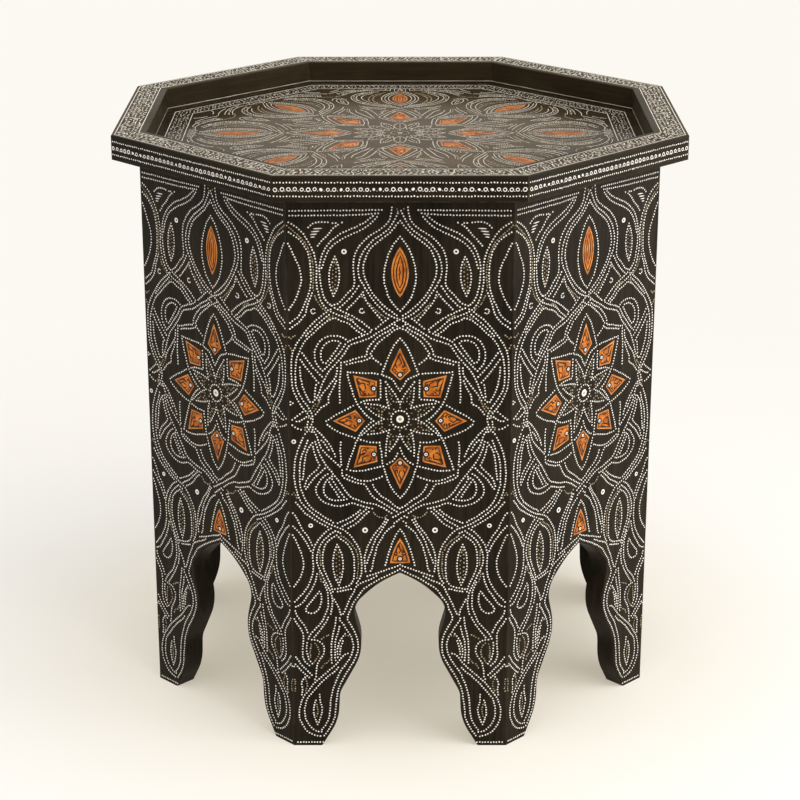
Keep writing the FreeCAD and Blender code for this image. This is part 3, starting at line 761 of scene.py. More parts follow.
def lathe_shape(profile, sides, closed, top=HEAD_TOP):
    """Turns a profile of (radius, height, radius on the map) into points, faces and map corners.

    A closed profile makes a ring with a hole, an open one ends in a point at the top."""
    points, faces, corners = [], [], []
    for radius, height, _ in profile:
        points += ring_of_points(radius, height, sides)
    flat = [corner for row in profile for corner in on_the_map(SHEET_MIDDLE, row[2], sides)]
    for row in range(len(profile) - 1):
        for i in range(sides):
            j = (i + 1) % sides
            face = (row * sides + i, row * sides + j, (row + 1) * sides + j, (row + 1) * sides + i)
            faces.append(face)
            corners += [flat[k] for k in face]
    last = (len(profile) - 1) * sides
    small = on_the_map(SHEET_CORNER, FOOT_ON_MAP, sides)
    if closed:
        inner = on_the_map(SHEET_CORNER, HOLE_ON_MAP, sides)
        for i in range(sides):
            j = (i + 1) % sides
            faces.append((last + i, last + j, j, i))
            corners += [inner[i], inner[j], small[j], small[i]]
    else:
        points.append((0, 0, top))
        for i in range(sides):
            j = (i + 1) % sides
            faces.append((last + i, last + j, len(points) - 1))
            corners += [flat[last + i], flat[last + j], SHEET_MIDDLE]
        faces.append(tuple(reversed(range(sides))))
        corners += [small[i] for i in reversed(range(sides))]
    return np.array(points), faces, np.array(corners)


PEG = lathe_shape([(1.0, SINK, 0.42), (0.93, HEAD_EDGE, 0.33)], PEG_SIDES, closed=False)
RING_OUTSIDE = [(1.0, SINK, 0.42), (0.93, RING_SHOULDER, 0.36), (0.68, RING_TOP, 0.27)]
RING_INSIDE = [(0.45, RING_SHOULDER, 0.18), (0.38, SINK, 0.12)]
RING = lathe_shape(RING_OUTSIDE + RING_INSIDE, RING_SIDES, closed=True)
THIN_OUTSIDE = [(1.0, SINK, 0.42), (0.95, RING_SHOULDER, 0.36), (0.77, RING_TOP, 0.29)]
THIN_INSIDE = [(0.6, RING_SHOULDER, 0.2), (0.53, SINK, 0.12)]
THIN_RING = lathe_shape(THIN_OUTSIDE + THIN_INSIDE, RING_SIDES, closed=True)
DISC_PROFILE = [(1.0, -0.1, 0.42), (0.94, 0.03, 0.36), (0.3, DISC_TOP, 0.2)]
DISC = lathe_shape(DISC_PROFILE, DISC_SIDES, closed=False, top=DISC_TOP)
print("a peg has", len(PEG[1]), "faces, a ring", len(RING[1]))

# %% [markdown]
# `stamp` puts a shape on every spot of a face. A spot says where it is, how big the piece is, how
# much longer than wide it is and which way it points, so that the same shape makes round pegs and
# short strokes. A surface is a function that takes across, up and out, and gives a place in space.

# %% Stamp shapes on a face
def finish_piece(name, mesh, material):
    """Turns a mesh into a piece of the stool."""
    mesh.materials.append(material)
    mesh.polygons.foreach_set("use_smooth", [True] * len(mesh.polygons))
    piece = link_object(bpy.data.objects.new(name, mesh))
    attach(piece, "root")
    return piece


def stamp(name, shape, spots, surface, side, material):
    """One piece made of copies of a shape. A spot is (across, up, radius, stretch, spin)."""
    points, faces, corners = shape
    across, up, radius, stretch, spin = (np.array(column)[:, None] for column in zip(*spots))
    along = points[:, 0] * radius * stretch
    beside = points[:, 1] * radius
    u = across + along * np.cos(spin) - beside * np.sin(spin)
    v = up + along * np.sin(spin) + beside * np.cos(spin)
    h = np.broadcast_to(points[:, 2], u.shape)
    x, y, z = surface(u, v, h)
    c, s = math.cos(side * EIGHTH), math.sin(side * EIGHTH)
    places = np.stack((x * c - y * s, x * s + y * c, z), axis=-1).reshape(-1, 3) * MM
    count = len(points)
    all_faces = [tuple(k + i * count for k in face) for i in range(len(spots)) for face in faces]
    mesh = bpy.data.meshes.new(name)
    mesh.from_pydata(places.tolist(), [], all_faces)
    columns = math.ceil(math.sqrt(len(spots)))
    cells = np.array([(i % columns, i // columns) for i in range(len(spots))])
    sheet = (cells[:, None, :] + corners[None, :, :]) / columns
    mesh.uv_layers.new(name=PEG_MAP).data.foreach_set("uv", sheet.reshape(-1))
    return finish_piece(name, mesh, material)


def side_face(u, v, h):
    """The face of a side board."""
    return u, -(PANEL_OUT + h), v


def rim_face(u, v, h):
    """The upright outer face of a rail."""
    return u, -(RIM_OUT + h), v


def rim_top(u, v, h):
    """The top of a rail, with v as the distance from its outer edge."""
    return u, v - RIM_OUT, RIM_TOP + h


def tray_top(u, v, h):
    """The tray floor."""
    return u, v, TRAY_FLOOR + h


random.seed(530)
OVAL = 0.10


def peg_spot(spot, radius, wander=0.10, uneven=0.07):
    """A round peg near a spot: drilled and cut by hand, so never quite true."""
    return (
        spot[0] + random.gauss(0, wander),
        spot[1] + random.gauss(0, wander),
        radius * (1 + random.uniform(-uneven, uneven)),
        1 + random.uniform(0, OVAL),
        random.uniform(0, math.pi),
    )


print("ready to stamp")

# %% [markdown]
# ## The pattern of a side board
#
# The pattern is drawn once, on the right half of the front board, in millimetres: across from the
# centre line, and up from the floor. The left half is its mirror image, and all eight boards carry
# the same drawing, so the curves that run off one board go on over the next. The names say what each
# curve belongs to: the medallion round the upper leaf, the dark almond that sits on the corner, the
# frame of the star, the petals round the orange pieces, and the border of the arch.

# %% Curves of the upper field
UPPER_CURVES = {
    "top row": [(15, 495.6), (55, 495.2), (94, 494.9)],
    "second row": [(18, 492.7), (40, 491.4), (94, 490.7)],
    "medallion outer": [
        (6.5, 498), (7.5, 491), (10, 485), (16, 479.4), (25, 473.6), (31, 468), (36, 461), (38.5, 453),
        (38.8, 444), (38, 435), (39, 429), (44, 423.7), (51, 415.7), (57, 413),
    ],
    "medallion middle": [
        (0.8, 495), (5.3, 485.7), (9.5, 479.5), (15, 475), (22, 470), (28, 463.5), (32.5, 456),
        (34.7, 446), (33.6, 437), (28, 426.5), (20, 415), (12.3, 407), (6, 403.2), (0, 401), (-5, 398.3),
        (-10, 394.5), (-18, 389.9), (-27, 383.9), (-38.5, 380), (-43, 377.3), (-48, 369.5), (-54.5, 361.5),
        (-61, 353.7), (-66.2, 342.6), (-70, 332.5), (-74, 327.5),
    ],
    "medallion inner": [
        (0, 486.5), (3.5, 482), (9, 475.8), (16.5, 469.8), (23.5, 464), (28, 456), (30.6, 446),
        (29, 436.5), (23.5, 425), (15.5, 415), (7.5, 408), (2.5, 404.5),
    ],
    "leaf loop": [
        (0, 472.8), (2, 470.6), (5.6, 465.8), (8, 461), (10, 456.3), (12.2, 448.5), (13.3, 441.3),
        (13.1, 433.6), (11.6, 427.3), (9.2, 420), (6.2, 415.3), (3, 411.3), (0, 408.5),
    ],
    "fall outer": [
        (20.5, 492.2), (24, 489.2), (30, 484.6), (38, 480.5), (46.5, 476.8), (53, 472.5), (59, 467),
        (64, 459), (66.8, 448), (66.4, 434), (63.5, 420.5), (57.5, 413), (46.5, 407.3), (40, 404),
        (32.7, 399.3), (24, 392),
    ],
    "fall inner": [
        (19, 489.8), (25.5, 483), (33, 478.2), (41.5, 474.2), (49.5, 470), (56, 465), (61, 457.5),
        (65, 446),
    ],
    "corner almond outer": [
        (94.3, 486.3), (87, 482), (80.5, 475.9), (75.5, 467.5), (71.5, 458.5), (69.4, 446), (69.6, 432),
        (66.5, 418.5), (61, 410), (54, 405.9), (46.5, 403), (40, 399.3), (34, 393.7), (27.5, 388.5),
    ],
    "corner almond inner": [
        (94.4, 478.3), (90, 475.3), (84.5, 471.3), (80, 466), (76.3, 458.5), (74.4, 447), (74.6, 431),
        (77, 421.5), (80.5, 413), (84.5, 404.3), (89, 400.5), (94.3, 396.3),
    ],
    "corner almond lower": [(73.3, 424), (77, 414.5), (79.6, 405.5), (84.3, 399), (89, 395.3), (94.3, 391.2)],
    "corner almond heart": [
        (94.3, 469), (91, 463.5), (87.5, 455), (84, 447), (82.3, 437.5), (83.5, 429), (87, 419.8),
        (91, 412.5), (94.3, 407.5),
    ],
    "diamond left": [(31, 425), (28, 416.8), (21.5, 408), (15.5, 400.7)],
    "diamond right": [(31, 425), (35, 419.7), (41, 413.2), (46.5, 407.9), (50, 405)],
    "diamond outer": [(34.5, 430), (40, 421.9), (46, 415.4), (51, 411.4), (58, 410)],
    "star frame crown": [
        (30, 387.2), (36.5, 391.3), (43, 397.2), (50, 399.8), (54.5, 402.2), (60, 400.2), (66, 395.5),
        (72.7, 389), (80, 381.8), (84.5, 373), (87.6, 364), (88.5, 351), (87.6, 340), (83.5, 331),
        (76.5, 320), (74.3, 312), (76.5, 304.5), (81, 298.5),
    ],
    "star frame outer": [
        (50, 411.8), (57, 410.8), (63, 406.3), (70.3, 400.5), (77.3, 392.9), (83, 385.2), (88, 377.3),
        (91, 369), (91.9, 357), (91.2, 342), (88, 332), (83.5, 323.5), (79, 317.5), (75.6, 311),
        (74.8, 303), (71.5, 297.5), (68, 287), (63.5, 280.8), (57, 274), (51.5, 268.7),
    ],
    "star frame between": [(57.5, 407), (62.5, 402.8), (68, 397.8), (75, 391), (79, 386.6)],
    "star frame short": [(84.6, 358.5), (84.2, 351), (82.6, 342), (79.5, 333.5), (76.3, 327.5)],
    "crown to ear": [(10, 401.7), (14, 398.4), (20, 393.3), (27.5, 388.5), (35, 385.4), (42, 382.5)],
    "ear outer": [
        (44, 381.3), (47, 384.5), (53, 386.5), (60.5, 386), (66.5, 382.6), (70.5, 376.5), (72, 370),
        (70.7, 362), (65.5, 355.5),
    ],
    "ear inner": [(50, 380), (52, 382), (57.5, 382.3), (63.3, 379), (66.4, 373), (66.5, 366.3), (65, 363)],
    "ear chord": [(46, 379), (49.5, 373.3), (54.5, 367.4), (59, 361.8), (63.5, 357.2)],
    "ear inner chord": [(50, 380), (52.5, 375.9), (55.5, 371.8), (59, 366.7), (62.5, 362.5)],
    "crown outer": [
        (-4.5, 396.5), (0, 393.6), (5, 391.4), (9, 388), (13.5, 384.6), (18.5, 380.2), (22, 375),
        (25, 370.6), (23.5, 368.3), (21.5, 365.6), (16.3, 361.5),
    ],
    "crown inner": [
        (4, 395.2), (9.5, 391), (14, 388.6), (18, 386), (21.7, 382.3), (25, 378.2), (27.6, 373.5),
        (28.5, 369), (34, 367.5), (40, 365.5), (47, 363.2),
    ],
    "crown bar": [(25.5, 367), (29, 365.1), (37.3, 363), (45, 361.1)],
    "side bar": [(49.8, 363), (50, 356), (51, 347), (51.3, 338), (51.2, 327)],
    "lozenge right": [(66, 350.3), (71.5, 356), (76, 362), (79.5, 367), (82.3, 371.3)],
    "lozenge low": [(69, 345), (73.3, 350.3), (79, 357.8), (84, 365.5)],
    "lozenge stem": [(70.5, 345.5), (72, 338), (72.6, 332), (74.5, 327.5)],
    "net outer": [(53, 358), (53.7, 351.8), (57, 346.5), (61, 340.8), (65.3, 335.5), (69, 329.2)],
    "net inner": [
        (54, 346.3), (57, 339.2), (60.6, 332.3), (61, 326.5), (66.5, 322.8), (71, 317.4), (74.5, 312),
    ],
}
print("upper field:", len(UPPER_CURVES), "curves")

# %% [markdown]
# The star's own petals are plain: each orange piece has a row of pegs round it. The rosette in the
# middle is eight small darts, and the lower field repeats the upper one upside down.

# %% Curves of the star and the lower field
MIDDLE_CURVES = {
    "top petal": [(0, 384.4), (3.2, 380.8), (6.5, 375.5), (9.7, 368.2), (12.8, 360), (15.6, 352.5)],
    "top valley": [(14, 351.2), (9, 349.3), (5.5, 346.5), (3, 342), (0, 337.6)],
    "upper petal top": [(16.5, 351.9), (22, 353.2), (32, 353.6), (44.4, 354.4)],
    "upper petal side": [(44.4, 352), (41.5, 340), (37.3, 328), (33.3, 321.3), (28, 315), (22.5, 310.5)],
    "upper petal foot": [(16.5, 347), (16.6, 338), (17, 330.6), (22, 329.6), (28, 329.1), (33, 327.3)],
    "side petal top": [(37.5, 325.6), (43, 322.3), (49.7, 318.6), (56, 315), (62.9, 310)],
    "side petal low": [(62, 307), (57, 303.2), (51, 299.7), (44.5, 297.1), (38.8, 295)],
    "lower petal side": [
        (23, 310.5), (27.7, 306.3), (32.5, 300.5), (37, 292.3), (40.7, 282), (43.8, 273), (45.8, 266.2),
    ],
    "lower petal top": [(17.3, 290.8), (25, 291), (31, 292.5), (36, 294.3)],
    "lower petal inner": [(17.2, 288), (15.8, 281), (15.3, 274), (14.5, 269)],
    "lower petal foot": [(17, 268.6), (23.3, 267), (30, 265.2), (37, 264.7), (45, 265.3)],
    "low valley": [(0, 285.7), (2, 280.7), (5, 275.5), (9, 272), (13.5, 269.8)],
    "foot petal": [(13.4, 266.3), (11, 258), (8, 250.5), (4, 244), (0, 239.6)],
    "low crown bar": [(15.5, 259.6), (20.3, 257.3), (27, 255.5), (34, 255.7), (40, 258), (46, 260.8)],
    "low crown outer": [
        (0, 229.7), (4.7, 232.5), (9.7, 237), (15.5, 241), (19.3, 244.6), (22, 248.8), (24.3, 254.3),
    ],
    "low crown inner": [
        (-6, 221.5), (0, 225.2), (6, 229), (12.5, 233.3), (18.7, 237.5), (23.5, 241), (27.5, 247.3),
        (30.7, 252.2), (37.3, 253.6), (45, 256.7), (49.3, 260), (49.8, 266), (50.6, 275), (51, 284),
        (50.4, 291),
    ],
    "low frame": [
        (-5, 216.3), (0, 220), (7.5, 225.4), (15, 230.7), (22, 233.8), (29.3, 235.2), (36.3, 237.7),
        (41.5, 239.9), (45, 243.5), (49, 249.6), (53.5, 256.5), (59, 264), (64, 270.8), (67.5, 277),
        (70, 283), (72.5, 291.5),
    ],
    "low ear outer": [
        (24, 229.8), (31, 231.4), (37, 233.6), (42, 234.9), (46.5, 233.2), (53, 232), (60, 233.4),
        (66.3, 236.5), (71, 241.6), (72.4, 248), (69.7, 254), (65, 260), (59.8, 263),
    ],
    "low ear inner": [
        (43.5, 239.3), (48.5, 237.9), (55, 237.3), (61, 238.8), (64.7, 243), (65.7, 249), (63.5, 255.5),
        (58.5, 259.5),
    ],
    "low ear chord": [(48.3, 240.5), (52, 246), (55.3, 251), (58.5, 257)],
    "low ear inner chord": [(52.8, 240.7), (56, 246.3), (59.5, 251.6), (62.3, 256.5)],
    "low side frame": [
        (76.5, 320), (78.5, 309.5), (80, 299.7), (82.3, 296), (86, 287.8), (89, 278.5), (90.6, 268),
        (90.7, 255), (88, 242.5), (84.5, 234.5), (79.5, 229), (74, 224), (68, 219.4), (61, 215.2),
        (55, 212.5), (49, 210), (44, 205.5), (39.7, 199.5), (36.3, 193.7), (34.3, 187), (33.4, 178),
        (33.6, 170), (35, 164), (38, 159.3),
    ],
    "low side frame inner": [
        (79, 292.5), (82, 284), (84.7, 277), (86, 268), (86, 252), (83.5, 242.5), (80.3, 235.5), (76, 230),
        (70.5, 225.6), (65, 221.4), (60, 218.5), (56, 215),
    ],
    "low side short": [(75, 290.5), (78.7, 285), (80.8, 278), (82, 270.5), (83, 262), (83.7, 257)],
    "net low outer": [
        (55.5, 278), (57.3, 283), (60.7, 289.5), (65, 295.2), (70, 301), (75, 304.7), (80.5, 301),
    ],
    "net low between": [(61, 284), (65, 290.5), (70, 295), (73.5, 298.5), (77, 302.5)],
    "net low stem": [(74.5, 287), (73.3, 281), (71.5, 275.5), (69, 270)],
    "net low right": [(70, 267.6), (74, 263.6), (77.5, 260.2), (80.3, 255.7), (82, 250.5)],
    "net low left": [(64.5, 267), (69, 262.7), (73, 259), (77, 254), (81, 248)],
    "corner knot": [(83, 318.5), (87, 315.2), (94, 309.8)],
    "corner knot low": [(84.5, 302.5), (88.5, 304), (94, 308)],
    "corner knot cross": [(79.5, 314), (83, 311.6), (87.5, 309.8), (91, 311.8), (94.2, 314)],
}
print("star and lower field:", len(MIDDLE_CURVES), "curves")

# %% [markdown]
# Below, loops go round two small leaves, a second dark almond sits on the corner, and a double row
# follows the cut edge of the arch down to the foot, where it turns into a drop-shaped loop.

# %% Curves of the arch border and the foot
LOWER_CURVES = {
    "drop loop": [(0, 210.3), (3, 206.2), (5.3, 201.3), (8, 194), (9.9, 187.5), (11.5, 181.5), (12.8, 176.5)],
    "side loop outer": [
        (12.5, 220), (14.3, 216.5), (17.7, 211.5), (21.5, 206.8), (25, 200.6), (28, 194.8), (30, 188),
        (31, 182), (30.7, 176), (30, 170.5),
    ],
    "side loop middle": [
        (10.5, 219), (13.5, 214), (16.5, 208.5), (20, 203), (22.7, 197), (24.7, 190), (27.3, 183.5),
        (28.8, 178), (29.6, 171),
    ],
    "side loop inner": [
        (5.5, 213.6), (9.5, 210.7), (13.3, 206.5), (16, 201.5), (19.3, 195.5), (21.3, 188.3), (23.2, 181),
        (24, 174.5), (25.7, 171),
    ],
    "cross left outer": [
        (27, 231), (33, 229.3), (38, 225), (44, 221), (50, 218), (55, 215.7), (59.5, 211.3), (64, 208.4),
        (69, 202.7), (73.4, 196), (76, 188), (75.6, 177), (76.3, 168.3), (79, 159.5), (84, 150.8),
        (89.3, 144.5), (94, 139.4),
    ],
    "cross left middle": [
        (29.5, 228.8), (35, 224), (40, 219), (46, 215.5), (52.5, 211.5), (58.7, 207), (63.3, 203),
        (67.3, 198.5), (70.5, 192), (72.5, 184), (71.7, 176.5), (68.5, 168.5), (64.9, 160), (61.5, 152.5),
        (59.4, 144.5), (59.5, 136), (61, 129.5),
    ],
    "cross left inner": [(25, 228.5), (31, 223.3), (36, 217.5), (42.5, 212.7), (49.5, 209.3)],
    "cross right low": [
        (90, 235.5), (86.3, 231), (82, 225.5), (76, 221), (70, 216.8), (63.5, 213), (57, 209.4),
        (51.5, 206.7),
    ],
    "leaf ring left": [
        (55, 204.7), (50.7, 200.6), (45.7, 196.5), (42.3, 191), (40.3, 184.5), (39.7, 177), (40, 168),
        (41.3, 161), (46.3, 156), (57, 153.6),
    ],
    "leaf ring right": [
        (55, 204.7), (60.7, 200.8), (65, 195.5), (67, 188), (67.4, 180), (66.4, 172.5), (63.7, 165.5),
        (60.5, 158), (58.8, 152), (59, 147.4), (56.4, 141), (53.5, 135), (52, 129),
    ],
    "leaf ring foot": [(43, 153.8), (49, 152.3), (57, 150.7)],
    "corner almond top": [
        (94.3, 227.5), (90.3, 222.6), (87.4, 216.3), (84.6, 210), (80.7, 204.5), (77.5, 198.2),
        (74.6, 190.5),
    ],
    "corner almond side": [(94.4, 215), (89.5, 209.9), (84.5, 203), (80, 195.4), (77.2, 188), (75.7, 180)],
    "corner almond seed": [
        (94.2, 207.3), (91, 201), (88.3, 194), (85.5, 186), (84.1, 178.5), (85, 170.8), (88, 163),
        (91.5, 157.8), (94.3, 154),
    ],
    "corner almond tail": [
        (72.4, 168), (74, 161), (77.3, 153), (81.3, 147), (85.5, 140.6), (89.5, 137.3), (94.2, 136.2),
    ],
    "corner knot tail": [
        (68.6, 165), (66, 158), (63.5, 150.8), (63, 143), (63.4, 135.5), (66, 128.5), (69.5, 121),
        (74, 115.8), (78.5, 110.4), (80.9, 105.5),
    ],
    "teardrop": [
        (70.5, 151.3), (74, 146.6), (79, 140.2), (82.6, 135.3), (81.5, 131.3), (76.5, 130.4),
        (71.8, 133.6), (69.4, 139.6), (68.8, 145.5), (70.5, 151.3),
    ],
    "border top": [(0, 177), (4, 174.8), (10.7, 172.6), (17.5, 169.8), (24.3, 167.4), (28.5, 166)],
    "border inner": [
        (0, 172.9), (3, 171), (8.5, 168), (14.5, 165), (20.5, 161.5), (27.3, 157), (32.5, 152.9),
        (37, 146), (41, 140.3), (43.2, 134), (46.2, 126), (43.7, 119.6), (40.2, 113), (37.8, 106),
        (37, 98), (37.9, 91), (40.5, 84.6), (44.5, 77), (48.6, 70.3), (52.4, 62.4), (55, 54.8), (56.6, 45),
        (57.6, 36), (58.5, 28), (61.1, 21), (64.8, 14.3), (68, 9.8),
    ],
    "border outer": [
        (20.5, 165.9), (26.5, 162.6), (32.5, 160), (37.8, 156.5), (41, 149.7), (44.5, 143), (47.3, 135.6),
        (50.5, 128.7), (53.2, 124.6), (50.6, 120.6), (46.5, 113.7), (42.7, 106.5), (41.2, 99), (42.3, 92),
        (45, 85.5), (48.9, 79.3), (52.5, 74.2), (55, 69), (57.5, 62.2), (60, 54), (61.6, 46), (62.4, 36.5),
        (63.4, 28), (66.2, 21), (70, 15.8),
    ],
    "foot drop outer": [
        (43.5, 91.3), (48, 90.8), (51.7, 87.3), (55.5, 82.3), (60, 77.2), (65.5, 72.2), (71, 67),
        (76.5, 61.6), (81.5, 54.5), (85.8, 48.6), (88.6, 41.3), (89.9, 33.5), (89.3, 26.3), (86.7, 19.7),
        (82.5, 13.7), (77, 10.5), (72.5, 9.3), (69, 8.3),
    ],
    "foot drop inner": [
        (54.8, 77.5), (58, 73.3), (63, 69.6), (68, 64.6), (73, 59.2), (77.7, 53), (82.3, 47), (84.4, 40),
        (85.1, 32.5), (83.6, 25), (79.8, 18.6), (75, 14.4), (70.3, 13.5),
    ],
    "foot drop upper": [(74.6, 68.5), (78, 60.5), (82, 55.5), (85.5, 50)],
    "foot row": [(69, 3.1), (94.2, 3.1)],
    "leg oval left": [(53.3, 117.5), (55, 110), (57, 103.5), (57.5, 96), (57.4, 88), (57, 82)],
    "leg oval far left": [(56.3, 126), (57.2, 118.5), (59.2, 109.5), (60.5, 100.5), (60.8, 91), (60.6, 82)],
    "leg oval heart": [(50.5, 103.5), (52.3, 97.5), (53.2, 90.5)],
    "leg oval heart outer": [(48.5, 110.5), (51.7, 105.5), (54.3, 100), (55.4, 93), (54.6, 85)],
    "leg ring left": [
        (78, 104.6), (73.5, 104), (69.5, 101.5), (67.2, 97), (67.4, 91.3), (70, 86.5), (72.8, 81.5),
        (74, 75.5), (74.7, 69),
    ],
    "leg ring right": [(78, 104.6), (81.5, 103), (82.6, 97.5), (82, 91), (80.3, 85), (77.7, 81.2)],
    "leg cross": [(61.8, 128.5), (65.3, 121.5), (69, 116), (72.3, 111.2), (75.6, 107)],
    "leg cross low": [(74.7, 66.6), (79, 71), (84, 76.4), (88, 80.9), (91, 86), (94, 89.5)],
    "leg cross lower": [(80.5, 67.5), (85, 71.8), (90, 77.4), (94, 82.5)],
    "leg side": [
        (80.4, 79.4), (84, 83), (86, 88.5), (86, 96), (85.4, 103), (85.5, 110), (87.5, 115.3),
        (91.3, 121.3), (94.2, 127),
    ],
    "leg side outer": [(81.3, 112), (84, 118), (87.5, 123.5), (91, 129), (92.6, 135)],
    "leg short": [(87.5, 50.5), (86.8, 56), (87.3, 63), (84.5, 68)],
    "foot leaf left": [(71.5, 50.7), (71.2, 44), (69.4, 37), (70.2, 31), (72, 25), (73.8, 21)],
    "foot leaf right": [(74.8, 45), (76.3, 40.5), (77, 34.5), (76.3, 28), (73.8, 21)],
}
print("lower field:", len(LOWER_CURVES), "curves")

# %% [markdown]
# Some curves are drawn with brown pegs that took up wax, thinner and closer together. They fill the
# knots and run as veins in the small leaves. Between the curves sit single marks: bone rings, groups
# of three pegs, curls of tiny pegs and hatches, which are short strips of bone side by side. A leaf is
# (tip, foot, half its width), a ring is (across, up, radius), and a curl is (centre, radius, first
# angle, last angle). The lone ring and the group of three aren't mirrored.

# %% Curves in stained pegs
STAINED_CURVES = {
    "almond between": [
        (93.5, 482.4), (88, 477.4), (83, 472.6), (78, 466.3), (74.4, 458), (72.5, 448), (72.1, 436),
        (72.5, 427), (69.5, 417.5), (65.5, 411.6), (61, 407.5),
    ],
    "medallion knot": [(-2.5, 496.3), (0.6, 493), (3.2, 496.6)],
    "ear knot": [(40, 401), (46, 404.5), (52, 405.3), (58, 403.5), (61.5, 400)],
    "crown dust": [(31.5, 421), (26.5, 416.3), (20, 409.3), (12.5, 402.5)],
    "knot upper": [(63, 338), (66.5, 331.5), (69.5, 325.5), (73, 319.5)],
    "knot middle": [(72, 325.5), (75.3, 321), (79.5, 317), (77.6, 313), (74.8, 316)],
    "knot lower": [(77.5, 307), (81.2, 304.3), (79, 300.5), (75.6, 302.8), (77.6, 306.5)],
    "low ear knot": [(61.5, 266.2), (57, 261.3), (53.5, 257.8)],
    "loop dust": [(23, 226), (19.7, 222.5), (14.5, 221.3), (11.3, 223.2)],
    "leaf ring dust": [
        (50.8, 204.2), (46.2, 200.7), (41, 195.5), (37.8, 189), (36.6, 181), (36.7, 172), (38, 164),
    ],
    "almond side dust": [(69.7, 190), (69.6, 182), (69.3, 175), (70.5, 168), (69, 161)],
    "leg oval dust": [(45.5, 108.5), (49.6, 108), (52.6, 102.5), (54, 95)],
    "leg ring heart": [(75, 101.3), (72.5, 97), (71.5, 91.5), (74, 86), (76.3, 82)],
    "leg ring heart right": [(78.5, 100), (79.4, 94), (79.3, 87.5)],
    "leg scroll": [(62, 86), (64, 82.5), (67.5, 80.5), (69.5, 77)],
    "leg scroll upper": [(63, 109.3), (66, 107.7), (69.2, 106)],
    "foot vein": [(74.4, 43), (73.3, 36), (74.2, 29)],
    "foot side": [(83.8, 66), (82.3, 60.5), (84, 54.5)],
    "corner scroll": [(87.3, 380.5), (90.5, 373.5), (94.3, 379.5)],
    "corner scroll lower": [(88.5, 387), (92, 384.3), (94.4, 387)],
    "corner scroll foot": [(89, 240), (91.5, 244.5), (94, 240.5)],
    "lowest corner": [(93.3, 54), (93, 61), (94, 68)],
}
SMALL_LEAVES = [((54, 455.6), (55.6, 421.6), 4.3), ((54.6, 196), (53.5, 157.6), 4.4)]
RING_SPOTS = [(46.5, 460, 2.35), (30.3, 209.5, 2.6), (77.4, 213.8, 2.1)]
LONE_RINGS = [(-90.8, 291.5, 2.1)]
TRIADS = [(-92.2, 326.5)]
CURLS = [((32, 408.4), 2.0, -150, 130), ((72.6, 408.2), 2.1, -130, 140)]
HATCHES = [
    [(64, 480), (72.2, 479.6)],
    [(66.3, 477.6), (74, 477)],
    [(68.4, 475.1), (74.6, 474.6)],
    [(70.3, 472.7), (74.3, 472.3)],
]
TRIAD_STEPS = [(-0.9, 1.2), (-0.9, -1.2), (1.2, 0)]
DOT_SPOTS = [(94, 78.5), (47.8, 485), (53, 484.6), (55.5, 484.4)]
TRIANGLE = [
    [(59.5, 485), (66, 485.5), (72, 484), (75.8, 480.6)],
    [(51.3, 483.2), (55.5, 479.8), (59.5, 474.6), (64, 470.2), (68.2, 465)],
]
print("stained:", len(STAINED_CURVES), "curves")

# %% [markdown]
# The rosette is worked out rather than drawn: eight darts stand round the middle of the star, each
# with two slightly swelled sides of pegs and a brown vein. A ring of pegs goes round the bone centre.
# A small leaf is two bowed rows of pegs with a brown zigzag between them. Both are worked out from
# their tips and feet, so that the same few numbers draw them in every place.

# %% Rosette of the star
STAR_HEIGHT = 312.0
DARTS = ((70, 90, 47), (24, 47, 0), (-24, 0, -47), (-70, -47, -90))
DART_TIP = 35.5
DART_FOOT = 13.5
DART_SWELL = 1.1
DART_WIDEST = 0.4
VEIN_WIDTH = 0.36
VEIN_FROM = 0.14
VEIN_SPAN = 0.72
LEAF_SHOULDER = 0.72
LEAF_QUARTER = 0.22
RING_ROUND_CENTRE = 7.7
CENTRE_RING_RADIUS = 3.4
DART_VEIN = ((17, 0), (19.5, 0.9), (22, -0.9), (24.5, 0), (27, 0))
DART_FLANKS = ((15.6, 2.6), (15.6, -2.6), (18.2, 3.4), (18.2, -3.4))


def polar(angle, distance, aside=0.0):
    """A spot of the star, from its angle, its distance to the centre and a step aside."""
    c, s = math.cos(math.radians(angle)), math.sin(math.radians(angle))
    return (distance * c - aside * s, STAR_HEIGHT + distance * s + aside * c)


def dart(tip_angle, *foot_angles):
    """The two sides of a dart, from its tip to the two places where it meets its neighbours."""
    tip = Vector(polar(tip_angle, DART_TIP))
    sides = []
    for foot_angle in foot_angles:
        foot = Vector(polar(foot_angle, DART_FOOT))
        outwards = Vector(((tip - foot).y, (foot - tip).x)).normalized()
        if foot_angle > tip_angle:
            outwards = -outwards
        sides.append([tip, foot.lerp(tip, DART_WIDEST) + DART_SWELL * outwards, foot])
    return sides


def leaf_vein(tip, foot, half, turns=15):
    """A zigzag down the middle of a small leaf, widest where the leaf is widest."""
    tip, foot = Vector(tip), Vector(foot)
    aside = Vector(((tip - foot).y, -(tip - foot).x)).normalized() * VEIN_WIDTH * half
    vein = []
    for turn in range(turns):
        part = VEIN_FROM + VEIN_SPAN * turn / (turns - 1)
        vein.append(tip.lerp(foot, part) + (-1) ** turn * math.sin(math.pi * part) * aside)
    return vein


def small_leaf(tip, foot, half):
    """The two sides of a small leaf between two points."""
    tip, foot = Vector(tip), Vector(foot)
    middle = (tip + foot) / 2
    aside = Vector(((tip - foot).y, -(tip - foot).x)).normalized() * half
    shoulder = LEAF_SHOULDER * aside
    near_tip, near_foot = tip.lerp(foot, LEAF_QUARTER), tip.lerp(foot, 1 - LEAF_QUARTER)
    return [
        [tip, near_tip + sign * shoulder, middle + sign * aside, near_foot + sign * shoulder, foot]
        for sign in (1, -1)
    ]


print("a dart reaches", DART_TIP, "mm out from the centre")

# %% [markdown]
# Now the boards are drilled. Each curve is drilled on the right and, mirrored, on the left. Holes
# too near the mitred edge are left out, and so are holes on top of a bone ring.

